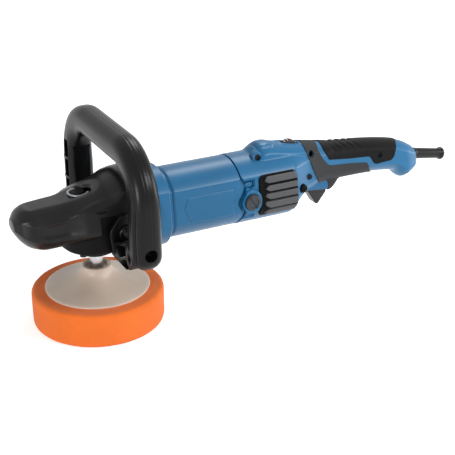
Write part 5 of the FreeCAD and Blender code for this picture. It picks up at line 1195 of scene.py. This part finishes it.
def floor():
    """A pale seamless floor that reads white and keeps the object's shadow."""
    size = 6.0
    mesh = bpy.data.meshes.new("floor")
    mesh.from_pydata([(-size, -size, 0), (size, -size, 0), (size, size, 0), (-size, size, 0)], [], [(0, 1, 2, 3)])
    made = bpy.data.objects.new("floor", mesh)
    bpy.context.scene.collection.objects.link(made)
    # Matt white sweep: diffuse for the shadow, with a share of its own white for the eye.
    paper, tree, shader = blank(
        "Studio sweep", {"Base Color": linear("#f4f4f4"), "Roughness": 0.9, "Emission Color": (1, 1, 1, 1)})
    glow = node(tree, "Math", {"operation": "MULTIPLY", 1: 0.62}, {0: seen_rays(tree)})
    tree.links.new(glow.outputs[0], shader.inputs["Emission Strength"])
    mesh.materials.append(paper)


def world():
    """White surroundings that light the object only weakly."""
    made = bpy.data.worlds.new("Studio")
    bpy.context.scene.world = made
    made.use_nodes = True
    tree = made.node_tree
    back = tree.nodes["Background"]
    back.inputs["Color"].default_value = (1, 1, 1, 1)
    level = node(tree, "MapRange", {"To Min": 0.3, "To Max": 1.0}, {"Value": seen_rays(tree)})
    tree.links.new(level.outputs["Result"], back.inputs["Strength"])


def lights():
    """A key from the right and front, a weaker low fill from the left, a light behind and a low one at the right."""
    soft_light("Key light", (1.0, -1.2, 1.1), (0.15, 0, 0.12), 0.6, 14)
    soft_light("Fill light", (-1.2, -0.8, 0.4), (0.05, 0, 0.12), 0.45, 9)
    soft_light("Back light", (0.85, 0.75, 1.5), (0.15, 0, 0.12), 0.6, 8)
    soft_light("Low light", (1.5, -0.35, 0.28), (0.02, 0, 0.14), 0.7, 7)


def dress_nodes():
    """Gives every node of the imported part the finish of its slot."""
    for part in frame["record"]["subparts"]:
        finish_of(frame["nodes"][part["node"]], part["material_slot"])


# -------------------------------------------------------------------------------------------------- add-on


def hue(name, description, code):
    """A colour property whose default is an sRGB hex code."""
    return bpy.props.FloatVectorProperty(
        name=name, description=description, default=linear(code), size=4, min=0.0, max=1.0, subtype="COLOR")


def length(name, description, millimetres):
    """A length property whose default is given in millimetres."""
    return bpy.props.FloatProperty(
        name=name, description=description, default=millimetres * MM, min=0.0, precision=5, subtype="DISTANCE",
        unit="LENGTH")


class PolisherLooks(bpy.types.PropertyGroup):
    """The colours and small sizes of the visible pieces."""

    pad_colour: hue("Foam pad", "Colour of the foam pad", "#fb7a2c")
    plate_colour: hue("Backing plate", "Colour of the plate above the pad", "#d6c3b2")
    body_colour: hue("Body", "Colour of the motor casing and the rear shells", "#1b6997")
    grip_colour: hue("Front grip", "Colour of the soft panel at the trigger", "#3d3e3f")
    back_grip_colour: hue("Back grip", "Colour of the soft panel under the palm", "#161617")
    rubber_colour: hue("Hood", "Colour of the rubber hood over the gear head", "#0b0b0c")
    loop_colour: hue("Loop handle", "Colour of the loop handle", "#0b0b0c")
    grip_proud: length("Grip height", "How far the soft grip stands out of the shells", 1.1)
    ripple_depth: length("Ripple depth", "Depth of the waves in the grip under the palm", 0.8)
    bar_height: length("Grille bars", "How far the grille's bars stand out of the motor's round", 4.9)
    leg_groove: length("Leg groove", "Depth of the groove down the front of each leg", 2.2)


class POLISHER_OT_finishes(bpy.types.Operator):
    """Mix every material and give each inner piece its own"""

    bl_idname = "polisher.mix_finishes"
    bl_label = "Mix finishes"

    def execute(self, context):
        make_finishes()
        dress_nodes()
        return {"FINISHED"}


class POLISHER_OT_pad(bpy.types.Operator):
    """Build the foam pad and the backing plate"""

    bl_idname = "polisher.build_pad"
    bl_label = "Pad and plate"

    def execute(self, context):
        foam_pad()
        backing_plate()
        return {"FINISHED"}


class POLISHER_OT_body(bpy.types.Operator):
    """Build the motor casing and the two rear shells"""

    bl_idname = "polisher.build_body"
    bl_label = "Casing and shells"

    def execute(self, context):
        motor_casing()
        rear_shells()
        return {"FINISHED"}


class POLISHER_OT_grips(bpy.types.Operator):
    """Build the soft grip's panels"""

    bl_idname = "polisher.build_grips"
    bl_label = "Soft grip"

    def execute(self, context):
        grip_panels()
        return {"FINISHED"}


class POLISHER_OT_grilles(bpy.types.Operator):
    """Build the vent grille on each side"""

    bl_idname = "polisher.build_grilles"
    bl_label = "Vent grilles"

    def execute(self, context):
        grilles()
        return {"FINISHED"}


class POLISHER_OT_hood(bpy.types.Operator):
    """Build the rubber hood over the gear head"""

    bl_idname = "polisher.build_hood"
    bl_label = "Rubber hood"

    def execute(self, context):
        palm_hood()
        return {"FINISHED"}


class POLISHER_OT_loop(bpy.types.Operator):
    """Build the loop handle with its feet and ears"""

    bl_idname = "polisher.build_loop"
    bl_label = "Loop handle"

    def execute(self, context):
        loop_handle()
        return {"FINISHED"}


class POLISHER_OT_controls(bpy.types.Operator):
    """Build the brush caps, trigger, lock-on button and speed dial"""

    bl_idname = "polisher.build_controls"
    bl_label = "Caps and controls"

    def execute(self, context):
        brush_caps()
        trigger()
        lock_on_button()
        speed_dial()
        return {"FINISHED"}


class POLISHER_OT_guard(bpy.types.Operator):
    """Build the cord guard"""

    bl_idname = "polisher.build_guard"
    bl_label = "Cord guard"

    def execute(self, context):
        cord_guard()
        return {"FINISHED"}


class POLISHER_OT_stage(bpy.types.Operator):
    """Set up the camera, the lights, the white surroundings and the floor"""

    bl_idname = "polisher.build_stage"
    bl_label = "Stage"

    def execute(self, context):
        camera()
        world()
        floor()
        lights()
        context.scene.view_settings.view_transform = "Standard"
        return {"FINISHED"}


OPERATORS = (
    POLISHER_OT_finishes, POLISHER_OT_pad, POLISHER_OT_body, POLISHER_OT_grips, POLISHER_OT_grilles,
    POLISHER_OT_hood, POLISHER_OT_loop, POLISHER_OT_controls, POLISHER_OT_guard, POLISHER_OT_stage,
)


class POLISHER_PT_panel(bpy.types.Panel):
    """Lists the polisher's settings and the buttons that build its pieces"""

    bl_idname = "POLISHER_PT_panel"
    bl_label = "Rotary polisher"
    bl_space_type = "VIEW_3D"
    bl_region_type = "UI"
    bl_category = "Polisher"

    def draw(self, context):
        looks = context.scene.polisher
        for setting in PolisherLooks.__annotations__:
            self.layout.prop(looks, setting)
        for operator in OPERATORS:
            self.layout.operator(operator.bl_idname)


def register():
    """Adds the settings, the buttons and the panel to Blender."""
    for made in (PolisherLooks, *OPERATORS, POLISHER_PT_panel):
        bpy.utils.register_class(made)
    bpy.types.Scene.polisher = bpy.props.PointerProperty(type=PolisherLooks)


def unregister():
    """Takes them out again."""
    del bpy.types.Scene.polisher
    for made in (POLISHER_PT_panel, *reversed(OPERATORS), PolisherLooks):
        bpy.utils.unregister_class(made)


def main():
    """Builds the dressed polisher and its stage."""
    register()
    bpy.ops.polisher.mix_finishes()
    bpy.ops.polisher.build_pad()
    bpy.ops.polisher.build_body()
    bpy.ops.polisher.build_grips()
    bpy.ops.polisher.build_grilles()
    bpy.ops.polisher.build_hood()
    bpy.ops.polisher.build_loop()
    bpy.ops.polisher.build_controls()
    bpy.ops.polisher.build_guard()
    bpy.ops.polisher.build_stage()


if __name__ == "__main__":
    main()
